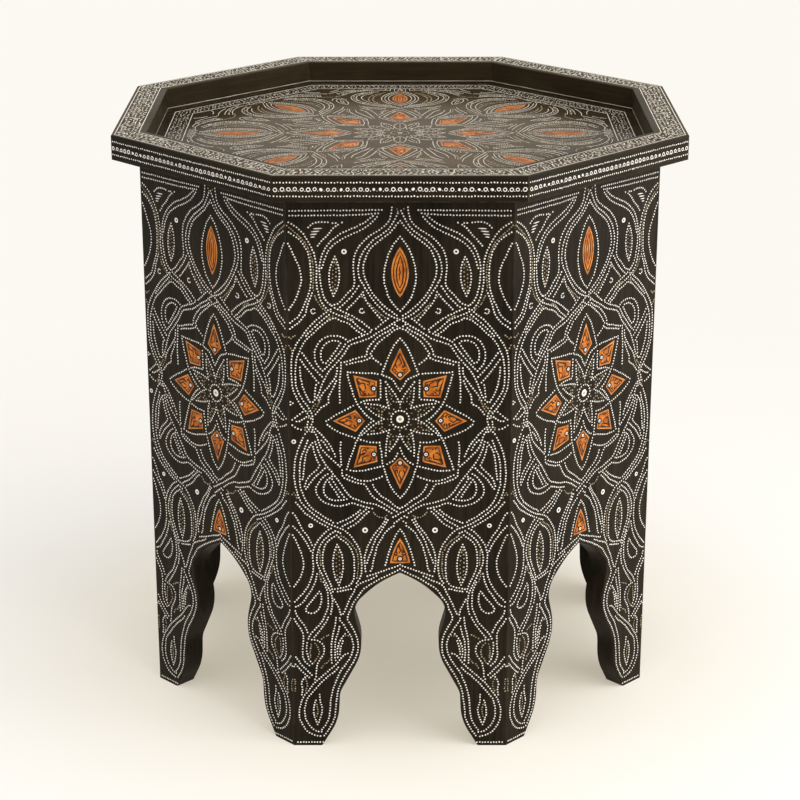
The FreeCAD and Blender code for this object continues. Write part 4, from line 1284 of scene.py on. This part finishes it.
# %% Drill and peg the side boards
PEG_RADIUS = 0.76
STAINED_RADIUS = 0.68
CURL_RADIUS = 0.6
HATCH_RADIUS = 0.52
STAINED_PITCH = 2.25
HOLE_GAP = 1.95
EDGE_MARGIN = 1.0
ROOM_ROUND_RING = 1.1
BROWN_GAP = 1.5
VEIN_ROOM = 1.4
CENTRE_STEP = 20
BROWN_CENTRE_STEP = 30
BROWN_CENTRE_OUT = 2.9
CURL_STEP = 42


def both_sides(points):
    """A curve and its mirror image."""
    return [list(points), [(-x, y) for x, y in points]]


pale_drill = Drill(HOLE_GAP)
edge_limit = PANEL_HALF - EDGE_MARGIN
all_rings = LONE_RINGS + [(sign * x, y, radius) for x, y, radius in RING_SPOTS for sign in (1, -1)]


def clear_of_rings(spot):
    """True when a hole doesn't cut into a ring."""
    distances = [(math.hypot(spot[0] - x, spot[1] - y), radius) for x, y, radius in all_rings]
    return all(distance > radius + ROOM_ROUND_RING for distance, radius in distances)


def places_along(points, pitch):
    """Places for holes along a curve and its mirror image, away from rings and the mitred edge."""
    for half in both_sides(points):
        for spot in spaced(smooth_line(half), pitch):
            if abs(spot[0]) <= edge_limit and clear_of_rings(spot):
                yield spot


pale_curves = [*UPPER_CURVES.values(), *MIDDLE_CURVES.values(), *LOWER_CURVES.values(), *TRIANGLE]
for angles in DARTS:
    pale_curves += dart(*angles)
for tip, foot, half in SMALL_LEAVES:
    pale_curves += small_leaf(tip, foot, half)
for points in pale_curves:
    for spot in places_along(points, PEG_PITCH):
        pale_drill.drill(spot)
for angle in range(0, 360, CENTRE_STEP):
    pale_drill.drill(polar(angle, RING_ROUND_CENTRE))
for x, y in TRIADS:
    for step_x, step_y in TRIAD_STEPS:
        pale_drill.drill((x + step_x, y + step_y))
for x, y in DOT_SPOTS:
    pale_drill.drill((x, y))
    pale_drill.drill((-x, y))

stained_drill = Drill(BROWN_GAP)


def drill_brown(spot, room=BROWN_GAP):
    """Drills a hole for a brown peg where the pale pegs leave room."""
    if pale_drill.has_room(spot, room):
        stained_drill.drill(spot)


for leaf in SMALL_LEAVES:
    for half in both_sides(leaf_vein(*leaf)):
        for spot in half:
            drill_brown(spot, VEIN_ROOM)
for points in STAINED_CURVES.values():
    for spot in places_along(points, STAINED_PITCH):
        drill_brown(spot)
for tip_angle, *_ in DARTS:
    for angle in (tip_angle, 180 - tip_angle):
        for distance, aside in DART_VEIN + DART_FLANKS:
            drill_brown(polar(angle, distance, aside))
for angle in range(0, 360, BROWN_CENTRE_STEP):
    drill_brown(polar(angle, RING_ROUND_CENTRE + BROWN_CENTRE_OUT))

curl_spots = []
for (x, y), radius, start, stop in CURLS:
    for angle in range(start, stop, CURL_STEP):
        across = x + radius * math.cos(math.radians(angle))
        up = y + radius * math.sin(math.radians(angle))
        curl_spots += [(across, up), (-across, up)]
hatch_spots = []
for hatch in HATCHES:
    for start, end in both_sides(hatch):
        way = Vector(end) - Vector(start)
        middle = (Vector(start) + Vector(end)) / 2
        stretch = way.length / 2 / HATCH_RADIUS
        hatch_spots.append((*middle, HATCH_RADIUS, stretch, math.atan2(way.y, way.x)))

side_rings = [(x, y, radius, 1.0, 0.0) for x, y, radius in all_rings]
side_rings.append((*polar(0, 0), CENTRE_RING_RADIUS, 1.0, 0.0))
for number, side in enumerate(SIDES):
    pegs = [peg_spot(spot, PEG_RADIUS) for spot in pale_drill.holes] + hatch_spots
    pegs += [peg_spot(spot, CURL_RADIUS) for spot in curl_spots]
    stamp("pegs_" + side, PEG, pegs, side_face, number, peg_finish)
    brown = [peg_spot(spot, STAINED_RADIUS, wander=0.18, uneven=0.2) for spot in stained_drill.holes]
    stamp("stained_pegs_" + side, PEG, brown, side_face, number, stained_finish)
    stamp("rings_" + side, RING, side_rings, side_face, number, peg_finish)
print(len(pale_drill.holes), "pale and", len(stained_drill.holes), "brown pegs in each side board")

# %% [markdown]
# ## The rim
#
# The upright face of a rail carries two rows of pegs with a row of thin bone rings between them, cut
# by hand and so never quite alike. Here and there a solid oval takes the place of a ring, and a tiny
# peg sits low between each two. The rail's top has a fine row near the outer edge and
# another nearer the tray, with short strokes of bone packed between them like seeds. The strip next to
# the tray is plain.

# %% Rows of the rim's outer face
FACE_ROWS = (RIM_TOP - 5.6, RIM_TOP - 17.0)
RING_ROW = RIM_TOP - 11.3
FACE_PITCH = 2.6
FACE_RADIUS = 0.67
RING_PITCH = 5.3
RING_RADIUS = 1.72
RIM_MARGIN = 2.0
RING_MARGIN = 1.6 * RIM_MARGIN
RING_SHARE = 0.82
SOLID_SIZE = 0.72
SOLID_STRETCH = 1.2
TINY_DROP = 1.35
TINY_RADIUS = 0.4

rim_half = half_side(RIM_OUT)


def even_steps(start, stop, pitch):
    """Places from start to stop, about pitch apart."""
    count = round((stop - start) / pitch)
    return [start + (stop - start) * i / count for i in range(count + 1)]


for number, side in enumerate(SIDES):
    pegs = [
        peg_spot((x, row), FACE_RADIUS, wander=0.14, uneven=0.12)
        for row in FACE_ROWS
        for x in even_steps(-rim_half + RIM_MARGIN, rim_half - RIM_MARGIN, FACE_PITCH)
    ]
    rings, solid = [], []
    for x in even_steps(-rim_half + RING_MARGIN, rim_half - RING_MARGIN, RING_PITCH):
        ring = peg_spot((x, RING_ROW), RING_RADIUS, wander=0.16, uneven=0.12)
        if random.random() < RING_SHARE:
            rings.append(ring)
        else:
            solid.append((ring[0], ring[1], ring[2] * SOLID_SIZE, SOLID_STRETCH, ring[4]))
        if x + RING_PITCH / 2 < rim_half - RIM_MARGIN:
            between = (x + RING_PITCH / 2, RING_ROW - TINY_DROP)
            pegs.append(peg_spot(between, TINY_RADIUS, wander=0.1, uneven=0.15))
    stamp("rim_pegs_" + side, PEG, pegs + solid, rim_face, number, peg_finish)
    stamp("rim_rings_" + side, THIN_RING, rings, rim_face, number, peg_finish)
print("rim face:", len(pegs), "pegs and", len(rings), "rings on the last side")

# %% [markdown]
# A seed is a peg that is stamped longer than wide. Each seed leans one of six ways, picked at random
# and then shaken a little, which makes the band look like plaited cord from a distance.

# %% Rows and seeds of the rim's top
TOP_EDGE_ROW = 3.2
TOP_INNER_ROW = 23.4
SEED_ROWS = (6.6, 10.1, 13.4, 16.8, 20.2)
SEED_PITCH = 4.5
SEED_RADIUS = 0.57
SEED_STRETCH = 3.5
SEED_ROOM = 2.1
LINE_PITCH = 2.0
LINE_RADIUS = 0.46
LINE_STRETCH = 2.5
LINE_MARGIN = 0.9
LEAN_SPREAD = 0.3
WANDER_ALONG = 0.8
WANDER_ACROSS = 0.5
SEED_SIZES = (0.8, 1.25)
SEED_LENGTHS = (0.45, 1.15)
SEED_LEANS = [math.radians(lean) for lean in (0, 25, -25, 60, -60, 90)]


def seed_band(rows, ends, pitch, drill):
    """Seeds in rows. A row is a distance, ends says how far a row reaches at that distance."""
    seeds = []
    for row in rows:
        reach = ends(row)
        for x in even_steps(-reach, reach, pitch):
            lean = random.choice(SEED_LEANS) + random.gauss(0, LEAN_SPREAD)
            spot = (x + random.gauss(0, WANDER_ALONG), row + random.gauss(0, WANDER_ACROSS))
            radius = SEED_RADIUS * random.uniform(*SEED_SIZES)
            stretch = SEED_STRETCH * random.uniform(*SEED_LENGTHS)
            if drill.drill(spot):
                seeds.append((*spot, radius, stretch, lean))
    return seeds


def rail_reach(distance):
    """Half the length of a line on a rail's top, at that distance from its outer edge."""
    return half_side(RIM_OUT - distance) - LINE_MARGIN


for number, side in enumerate(SIDES):
    rows = []
    for distance in (TOP_EDGE_ROW, TOP_INNER_ROW):
        reach = rail_reach(distance)
        rows += [(x, distance, LINE_RADIUS, LINE_STRETCH, 0.0) for x in even_steps(-reach, reach, LINE_PITCH)]
    seeds = seed_band(SEED_ROWS, rail_reach, SEED_PITCH, Drill(SEED_ROOM))
    stamp("rim_top_seeds_" + side, PEG, rows + seeds, rim_top, number, rim_bone_finish)
print("rim top:", len(rows), "pegs and", len(seeds), "seeds on the last side")

# %% [markdown]
# ## The tray floor
#
# The tray carries a big star of its own. One eighth of its pattern is drawn, as half a slice that is
# mirrored and then turned eight times. Across is the distance from the middle line of the slice, and
# up is the distance from the middle of the tray.

# %% Curves of one slice of the tray
TRAY_CURVES = {
    "kite": [(0, 48), (5.5, 52.5), (11.5, 60.5), (15.2, 66.5), (10.5, 79), (5.5, 90), (0, 97)],
    "kite outer": [
        (3.5, 45.5), (9.5, 51.5), (16.5, 60), (19.8, 66.3), (14.6, 80), (8.5, 92.5), (2.5, 102), (0, 104),
    ],
    "leaf": [(0, 123), (5, 129), (9.8, 139), (11.4, 150), (9.8, 161), (5, 171), (0, 177)],
    "leaf outer": [(0, 117), (7.5, 126), (13, 137.5), (15, 150), (13.2, 162), (7.5, 174), (2, 181.5)],
    "leaf outermost": [(10, 124), (15.8, 136), (18.2, 149), (16.5, 162), (11, 174), (4, 184)],
    "arcade": [
        (2, 109), (9, 111.5), (18, 115), (27, 119), (36, 126.5), (43, 136), (47, 147), (48, 158),
        (44, 169), (36, 178), (26, 184),
    ],
    "arcade inner": [
        (5, 113.5), (14, 117.5), (24, 121.5), (32, 128.5), (38.5, 137), (42.3, 147), (43, 157),
        (39.5, 167), (32, 175.5), (22, 182),
    ],
    "arcade low": [(14.5, 104), (22, 107), (31, 110.5), (39, 116)],
    "spandrel": [(12, 189), (24, 190), (37, 186), (48, 178.5), (57, 168)],
    "spandrel outer": [(28, 193), (41, 190), (52, 183), (62, 174)],
    "spandrel edge": [(46, 191.5), (56, 186.5), (65, 179.5), (70, 174)],
    "fringe": [(5.5, 194), (5.5, 188.5)],
    "fringe second": [(9.5, 194), (10, 187.5)],
    "fringe third": [(14, 194), (15, 191.5)],
    "fringe far": [(61, 194), (64, 188), (69, 183)],
    "eye": [(0, 186.5), (2.6, 190.2), (0, 194)],
    "arcade third": [
        (9, 118.5), (18, 123), (26.5, 129.5), (33, 138), (37, 147.5), (37.8, 157), (34.5, 166),
        (28, 173.5),
    ],
    "arcade low second": [(18, 100.5), (26, 104), (34, 108.5)],
    "bud outer": [(63, 151), (58.5, 151), (53, 147)],
    "bud": [(61, 147.3), (56, 144), (52, 138), (50.2, 130), (51, 123.2)],
    "bud seed": [(58, 140), (55, 135.5), (54, 130.5)],
    "point": [(24, 62), (27, 72), (30, 82), (33, 91), (38, 98.5)],
    "point inner": [(20.5, 70), (22.5, 79), (25.5, 88.5), (30, 98), (36, 104.5)],
}
TRAY_STAINED = {
    "crown": [(0, 107.5), (7, 107), (14, 109.5), (21, 112.5)],
    "arcade dust": [(30, 139), (31, 149), (29, 160), (23, 170), (15, 178)],
    "leaf dust": [(22, 129), (25.5, 138), (27, 149), (25, 160), (19.5, 169)],
    "point dust": [(27, 96.5), (32, 104), (38, 109)],
    "corner dust": [(64, 158), (58, 163.5), (53, 170)],
    "kite dust": [(11, 97), (16, 89), (19.3, 80.5)],
}
TRAY_PEG_RADIUS = 0.43
TRAY_PEG_STRETCH = 2.9
TRAY_PITCH = 2.5
TRAY_GAP = 1.6
TRAY_BORDERS = (214.5, 197.5)
TRAY_SEED_ROWS = (201.0, 204.4, 207.8, 211.0)
SLICE = math.tan(HALF_EIGHTH)
SLICE_SLACK = 0.4
STROKE_SIZES = (0.85, 1.15)
STROKE_LENGTHS = (0.8, 1.2)


def eight_times(points):
    """A curve of a slice in all its places: mirrored, then turned round the tray."""
    for half in both_sides(points):
        for turn in range(8):
            yield [turned((x, y, 0), turn * EIGHTH).xy for x, y in half]


def in_slice(line):
    """True while a curve stays in its slice, where its neighbour's mirror image goes on."""
    return [spot for spot in line if abs(spot[0]) <= SLICE * spot[1] + SLICE_SLACK]


tray_drill = Drill(TRAY_GAP)
tray_strokes = []


def lay_strokes(line, pitch, radius, stretch):
    """Short strokes of bone that follow a line of the tray, where there is room for them."""
    spots = [Vector(spot) for spot in spaced(line, pitch)]
    for before, spot, after in zip(spots[:1] + spots[:-1], spots, spots[1:] + spots[-1:]):
        if tray_drill.drill(spot):
            way = after - before
            size = radius * random.uniform(*STROKE_SIZES)
            length = stretch * random.uniform(*STROKE_LENGTHS)
            tray_strokes.append((*spot, size, length, math.atan2(way.y, way.x)))


for apothem in TRAY_BORDERS:
    for turn in range(8):
        ends = [turned((sign * half_side(apothem), apothem, 0), turn * EIGHTH).xy for sign in (-1, 1)]
        lay_strokes(ends, LINE_PITCH, LINE_RADIUS, LINE_STRETCH)
for points in TRAY_CURVES.values():
    for line in eight_times(in_slice(smooth_line(points))):
        lay_strokes(line, TRAY_PITCH, TRAY_PEG_RADIUS, TRAY_PEG_STRETCH)
print(len(tray_strokes), "strokes in the tray's lines")

# %% [markdown]
# The middle of the tray has a rosette: sixteen small leaves in two rings round the bone centre. The
# leaves are drawn like those of the side boards, with short strokes in place of round pegs. A leaf of
# the list is (its turn in eighths, foot, tip, half its width).

# %% Rosette of the tray
ROSETTE_LEAVES = [(0, 14, 41, 5.6), (0.5, 17, 45, 4.4)]
CENTRE_RING = 8.5
VEIN_INSET = 6

for turn_part, foot, tip, half in ROSETTE_LEAVES:
    for turn in range(8):
        angle = (turn + turn_part) * EIGHTH
        for edge in small_leaf((0, tip), (0, foot), half):
            line = [turned((*spot, 0), angle).xy for spot in smooth_line(edge)]
            lay_strokes(line, TRAY_PITCH, TRAY_PEG_RADIUS, TRAY_PEG_STRETCH)
        vein = [turned((0, distance, 0), angle).xy for distance in (foot + VEIN_INSET, tip - VEIN_INSET)]
        lay_strokes(vein, 2 * TRAY_PITCH, TRAY_PEG_RADIUS, TRAY_PEG_STRETCH)
ring = [turned((0, CENTRE_RING, 0), turn * EIGHTH / 3).xy for turn in range(25)]
lay_strokes(ring, TRAY_PITCH, TRAY_PEG_RADIUS, 1.0)
print(len(tray_strokes), "strokes with the rosette")

# %% [markdown]
# Seeds fill the border of the tray and the bands between its lines. A band is named by the two curves
# that it lies between: the seeds are set halfway between them, and each leans its own way. Brown pegs
# then go where there is still room. The strokes make two pieces, one for the front half of the tray
# and one for the back half, because one piece of them all would be too heavy.

# %% Seeds of the tray
FILLED_BANDS = [("arcade", "arcade inner"), ("spandrel", "spandrel outer"), ("kite outer", "point inner")]
FILL_PITCH = 3.0
FILL_ROOM = 2.0
FILL_WANDER = 0.6
FILL_SIZES = (0.65, 1.0)
FILL_LENGTHS = (0.4, 0.95)
BORDER_MARGIN = 1.2
TRAY_BROWN_GAP = 1.3
TRAY_BROWN_PITCH = 1.9
TRAY_BROWN_ROOM = 1.4
TRAY_BROWN_RADIUS = 0.58
tray_seeds = []


def add_seed(spot, lean):
    """A seed of the tray near a spot."""
    spot = (spot[0] + random.gauss(0, FILL_WANDER), spot[1] + random.gauss(0, WANDER_ACROSS))
    if tray_drill.drill(spot, FILL_ROOM):
        radius = SEED_RADIUS * random.uniform(*FILL_SIZES)
        stretch = SEED_STRETCH * random.uniform(*FILL_LENGTHS)
        tray_seeds.append((*spot, radius, stretch, lean + random.gauss(0, LEAN_SPREAD)))


for turn in range(8):
    for row in TRAY_SEED_ROWS:
        reach = half_side(row) - BORDER_MARGIN
        for x in even_steps(-reach, reach, SEED_PITCH):
            add_seed(turned((x, row, 0), turn * EIGHTH).xy, turn * EIGHTH + random.choice(SEED_LEANS))
for first, second in FILLED_BANDS:
    one = spaced(smooth_line(TRAY_CURVES[first]), FILL_PITCH)
    other = smooth_line(TRAY_CURVES[second])
    between = [spot.lerp(min(other, key=lambda p: (p - spot).length), 0.5) for spot in one]
    for line in eight_times(between):
        for spot in line:
            add_seed(spot, random.choice(SEED_LEANS))

front_strokes = [stroke for stroke in tray_strokes if stroke[1] < 0]
back_strokes = [stroke for stroke in tray_strokes if stroke[1] >= 0]
for half, strokes in (("front", front_strokes), ("back", back_strokes)):
    stamp("tray_pegs_" + half, PEG, strokes, tray_top, 0, tray_bone_finish)
    print("tray pegs,", half, "half:", len(strokes))
stamp("tray_seeds", PEG, tray_seeds, tray_top, 0, tray_bone_finish)

tray_stained = Drill(TRAY_BROWN_GAP)
for points in TRAY_STAINED.values():
    for line in eight_times(smooth_line(points)):
        for spot in spaced(line, TRAY_BROWN_PITCH):
            if tray_drill.has_room(spot, TRAY_BROWN_ROOM):
                tray_stained.drill(spot)
tray_brown = [peg_spot(spot, TRAY_BROWN_RADIUS, wander=0.2, uneven=0.2) for spot in tray_stained.holes]
stamp("tray_stained_pegs", PEG, tray_brown, tray_top, 0, stained_finish)
print("tray:", len(tray_strokes), "strokes,", len(tray_seeds), "seeds,", len(tray_brown), "brown pegs")

# %% [markdown]
# A thin pale grey strip, finished like dull bone, runs round the foot of the tray's wall, just above
# the boards. It is a low bar that goes round the eight sides in short lengths.

# %% String round the tray
STRING_LOW = TRAY_FLOOR + 2.3
STRING_HEIGHT = 0.9
STRING_PROUD = 0.12
STRING_LENGTHS = 26
STRING_SUNK = 0.2
STRING_WAVE = 0.06
STRING_UNEVEN = 0.02


def string_bar():
    """The strip as a closed loop with four edges."""
    points, faces = [], []
    for turn in range(8):
        for step in range(STRING_LENGTHS):
            part = 2 * step / STRING_LENGTHS - 1
            low = STRING_LOW + random.gauss(0, STRING_WAVE)
            high = low + STRING_HEIGHT
            back = RIM_IN + STRING_SUNK
            front = RIM_IN - (STRING_PROUD + random.uniform(-STRING_UNEVEN, STRING_UNEVEN))
            for apothem, z in ((back, low), (front, low), (front, high), (back, high)):
                points.append(turned((-part * half_side(apothem), apothem, z), turn * EIGHTH) * MM)
    total = len(points) // 4
    for ring in range(total):
        following = (ring + 1) % total
        for edge in range(4):
            beside = (edge + 1) % 4
            faces.append((4 * ring + edge, 4 * ring + beside, 4 * following + beside, 4 * following + edge))
    mesh = bpy.data.meshes.new("tray_string")
    mesh.from_pydata(points, [], faces)
    return mesh


finish_piece("tray_string", string_bar(), string_finish)
print("string laid at", round(STRING_LOW, 1), "mm")

# %% [markdown]
# ## Carving
#
# The orange pieces are carved with a small graver: a line just inside the edge, a ring at the foot,
# and free scrolls in the middle. The same drawing is fitted to every piece. A point of the drawing
# says how far it is from the foot to the tip, from 0 to 1, and how far from the middle line to the
# edge, from -1 to 1. So a narrow piece gets a narrow drawing, as it would from the carver.

# %% Drawings to carve
KITE_STROKES = [
    [(0.84, 0.0), (0.72, 0.20), (0.62, 0.02), (0.55, -0.20), (0.47, 0.0), (0.40, 0.16)],
    [(0.70, -0.42), (0.58, -0.58), (0.46, -0.56), (0.42, -0.30), (0.50, -0.38)],
    [(0.64, 0.55), (0.53, 0.62), (0.43, 0.50), (0.42, 0.28)],
    [(0.36, -0.62), (0.33, -0.42), (0.36, -0.22)],
    [(0.36, 0.62), (0.32, 0.50), (0.33, 0.36)],
    [(0.76, 0.40), (0.70, 0.46), (0.64, 0.30)],
    [(0.28, -0.50), (0.25, -0.30)],
    [(0.27, 0.48), (0.24, 0.28)],
]
LEAF_STROKES = [
    [(0.20, 0.0), (0.3, -0.34), (0.5, -0.40), (0.7, -0.34), (0.84, -0.04)],
    [(0.20, 0.08), (0.34, 0.36), (0.5, 0.40), (0.66, 0.34), (0.80, 0.02)],
    [(0.36, 0.02), (0.44, 0.08), (0.50, -0.04), (0.57, 0.06), (0.64, -0.02)],
]
STROKE_WIDTH = 1.5
BORDER_WIDTH = 1.3
BORDER_INSET = 1.85
BORDER_PITCH = 1.2
STROKE_LOW = -0.01
STROKE_HIGH = 0.07
FOOT_PLACE = 0.17
FOOT_RING_RADIUS = 1.5
FOOT_DISC_RADIUS = 3.05
FOOT_STEP = 2.5
SHAKE = 0.022
LEVEL_SLACK = 0.01
SLANT = 0.3
END_WIDTH = 0.3
WIDTH_SHARES = (0.8, 1.15)
MAP_STRIPS = ((0.05, 0.35), (0.35, 0.65), (0.75, 0.95))


def edges_of(corners):
    """Each edge of a closed outline, as its two ends."""
    return list(zip(corners, corners[1:] + corners[:1]))


def centre(outline):
    """The middle of an outline's corners."""
    return sum(outline, Vector((0, 0))) / len(outline)


def face_outlines(node, level_axis, level):
    """The outlines of a node's flat faces at a level, each as points in millimetres."""
    mesh = nodes[node].data
    flat_axes = [axis for axis in range(3) if axis != level_axis]
    edges = {}
    for polygon in mesh.polygons:
        ring = list(polygon.vertices)
        if any(abs(mesh.vertices[v].co[level_axis] / MM - level) > LEVEL_SLACK for v in ring):
            continue
        for a, b in edges_of(ring):
            if (b, a) in edges:
                del edges[(b, a)]
            else:
                edges[(a, b)] = True
    onward = dict(edges.keys())
    outlines = []
    while onward:
        start, vertex = onward.popitem()
        ring = [start]
        while vertex != start:
            ring.append(vertex)
            vertex = onward.pop(vertex)
        outlines.append([Vector([mesh.vertices[v].co[axis] / MM for axis in flat_axes]) for v in ring])
    return outlines


def fit_to(outline, way):
    """A function that puts a point of a drawing into an outline that lies the given way."""
    way = Vector(way).normalized()
    beside = Vector((-way.y, way.x))
    middle = centre(outline)
    low = min((p - middle).dot(way) for p in outline)
    high = max((p - middle).dot(way) for p in outline)

    def place(t, s):
        reach = low + (high - low) * t
        crossings = []
        for a, b in edges_of(outline):
            first, second = (a - middle).dot(way) - reach, (b - middle).dot(way) - reach
            if first * second < 0:
                crossings.append((a.lerp(b, first / (first - second)) - middle).dot(beside))
        left, right = (min(crossings), max(crossings)) if crossings else (0, 0)
        return middle + way * reach + beside * ((left + right) / 2 + s * (right - left) / 2)

    return place


def inset(outline, gap):
    """The outline moved inwards all round, as a closed line."""
    turning = sum((b - a).cross(c - b) for a, b, c in corners_of(outline))
    inwards = 1 if turning > 0 else -1
    line = []
    for a, b, c in corners_of(outline):
        before = (b - a).normalized()
        after = (c - b).normalized()
        push = inwards * Vector((-before.y - after.y, before.x + after.x))
        line.append(b + push * gap / (1 + before.dot(after)))
    return line + [line[0].copy()]


def corners_of(outline):
    """Each corner of an outline with the corners before and after it."""
    return zip(outline[-1:] + outline[:-1], outline, outline[1:] + outline[:1])


def foot_spot(outline, way):
    """Where the small ring sits: at the foot, or beside the inner upright edge of a slanting kite."""
    middle = centre(outline)
    if min(abs(way.x), abs(way.y)) < SLANT * way.length:
        return fit_to(outline, way)(FOOT_PLACE, 0)
    start, end = min(
        edges_of(outline),
        key=lambda edge: abs(edge[0].x + edge[1].x) + abs(edge[0].x - edge[1].x),
    )
    edge_middle = (start + end) / 2
    return edge_middle + FOOT_STEP * (middle - edge_middle).normalized()


print("drawings:", len(KITE_STROKES), "strokes for a kite,", len(LEAF_STROKES), "for a leaf")

# %% [markdown]
# A stroke is a thin ridge of black wax that stands a hair above the bone, wide in the middle and
# pointed at its ends, as a graver cuts it. Every stroke is a closed little solid.

# %% Cut and fill the strokes
def ridge(line, width):
    """Points and faces of one stroke, with three edges along it."""
    points, faces = [], []
    last = len(line) - 1
    for i, spot in enumerate(line):
        way = (line[min(i + 1, last)] - line[max(i - 1, 0)]).normalized()
        swell = math.sin(math.pi * (i + 0.5) / (last + 1)) ** 0.5
        beside = Vector((-way.y, way.x)) * (0.5 * width * (END_WIDTH + (1 - END_WIDTH) * swell))
        points += [(*(spot - beside), STROKE_LOW), (*spot, STROKE_HIGH), (*(spot + beside), STROKE_LOW)]
    for i in range(last):
        a, b = 3 * i, 3 * i + 3
        faces += [(a, a + 1, b + 1, b), (a + 1, a + 2, b + 2, b + 1), (a + 2, a, b, b + 2)]
    faces += [(2, 1, 0), (3 * last, 3 * last + 1, 3 * last + 2)]
    return points, faces


def ridge_map(count, row, rows):
    """Where the corners of a stroke's faces lie on the map: each stroke has a strip of its own."""
    def at(i, across):
        return ((i + 0.5) / (count + 1), (row + across) / rows)

    corners = []
    for i in range(count - 1):
        for low, high in MAP_STRIPS:
            corners += [at(i, low), at(i, high), at(i + 1, high), at(i + 1, low)]
    for end in (-0.4, count - 0.6):
        corners += [at(end, 0.1), at(end, 0.3), at(end + 0.2, 0.2)]
    return corners


def carve(name, pieces, surface, side):
    """Strokes on a list of (outline, way, strokes)."""
    lines = []
    for outline, way, strokes in pieces:
        place = fit_to(outline, way)
        lines.append((spaced(inset(outline, BORDER_INSET), BORDER_PITCH), BORDER_WIDTH))
        for stroke in strokes:
            shaken = [
                place(t + random.gauss(0, SHAKE), s * (1 + random.gauss(0, 2 * SHAKE)))
                for t, s in stroke
            ]
            lines.append((smooth_line(shaken, steps=4), STROKE_WIDTH * random.uniform(*WIDTH_SHARES)))
    points, faces, corners = [], [], []
    for row, (line, width) in enumerate(lines):
        more_points, more_faces = ridge(line, width)
        faces += [tuple(k + len(points) for k in face) for face in more_faces]
        points += more_points
        corners += ridge_map(len(line), row, len(lines))
    u, v, h = (np.array(column) for column in zip(*points))
    x, y, z = surface(u, v, h)
    places = [turned(point, side * EIGHTH) * MM for point in zip(x, y, z)]
    mesh = bpy.data.meshes.new(name)
    mesh.from_pydata(places, [], faces)
    mesh.uv_layers.new(name=PEG_MAP).data.foreach_set("uv", np.array(corners).reshape(-1))
    return finish_piece(name, mesh, wax_finish)


STAR_REACH = 90
star_middle = Vector((0, STAR_HEIGHT))
side_pieces = []
foot_spots = []
for outline in face_outlines("bone_inlay_front", 1, -PANEL_OUT):
    middle = centre(outline)
    in_star = (middle - star_middle).length < STAR_REACH
    way = middle - star_middle if in_star else Vector((0, 1))
    is_leaf = middle.y > STAR_HEIGHT + STAR_REACH
    side_pieces.append((outline, way, LEAF_STROKES if is_leaf else KITE_STROKES))
    if not is_leaf:
        foot_spots.append(foot_spot(outline, way))
for number, side in enumerate(SIDES):
    carve("carving_" + side, side_pieces, side_face, number)
    discs = [(*spot, FOOT_DISC_RADIUS, 1.0, 0.0) for spot in foot_spots]
    stamp("carving_feet_" + side, DISC, discs, side_face, number, wax_finish)
    rings = [(*spot, FOOT_RING_RADIUS, 1.0, 0.0) for spot in foot_spots]
    stamp("carving_rings_" + side, RING, rings, side_face, number, peg_finish)

tray_pieces = []
for node, strokes in (("tray_star_inlay", KITE_STROKES), ("tray_leaf_inlay", LEAF_STROKES)):
    for outline in face_outlines(node, 2, TRAY_FLOOR):
        outwards = sum(outline, Vector((0, 0)))
        tray_pieces.append((outline, outwards, strokes))
carve("carving_tray", tray_pieces, tray_top, 0)
print("carved", len(side_pieces), "pieces on each side and", len(tray_pieces), "on the tray")

# %% [markdown]
# ## The last cell
#
# The size of the dressed stool is printed next to the size of the woodwork. The two may differ only
# by what the pegs stand proud.

# %% Print the sizes and finish
dressed_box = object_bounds()
sizes = {
    "cad": [list(corner) for corner in woodwork_box],
    "visual": [list(corner) for corner in dressed_box],
}
print("woodwork:", sizes["cad"])
print("dressed: ", sizes["visual"])
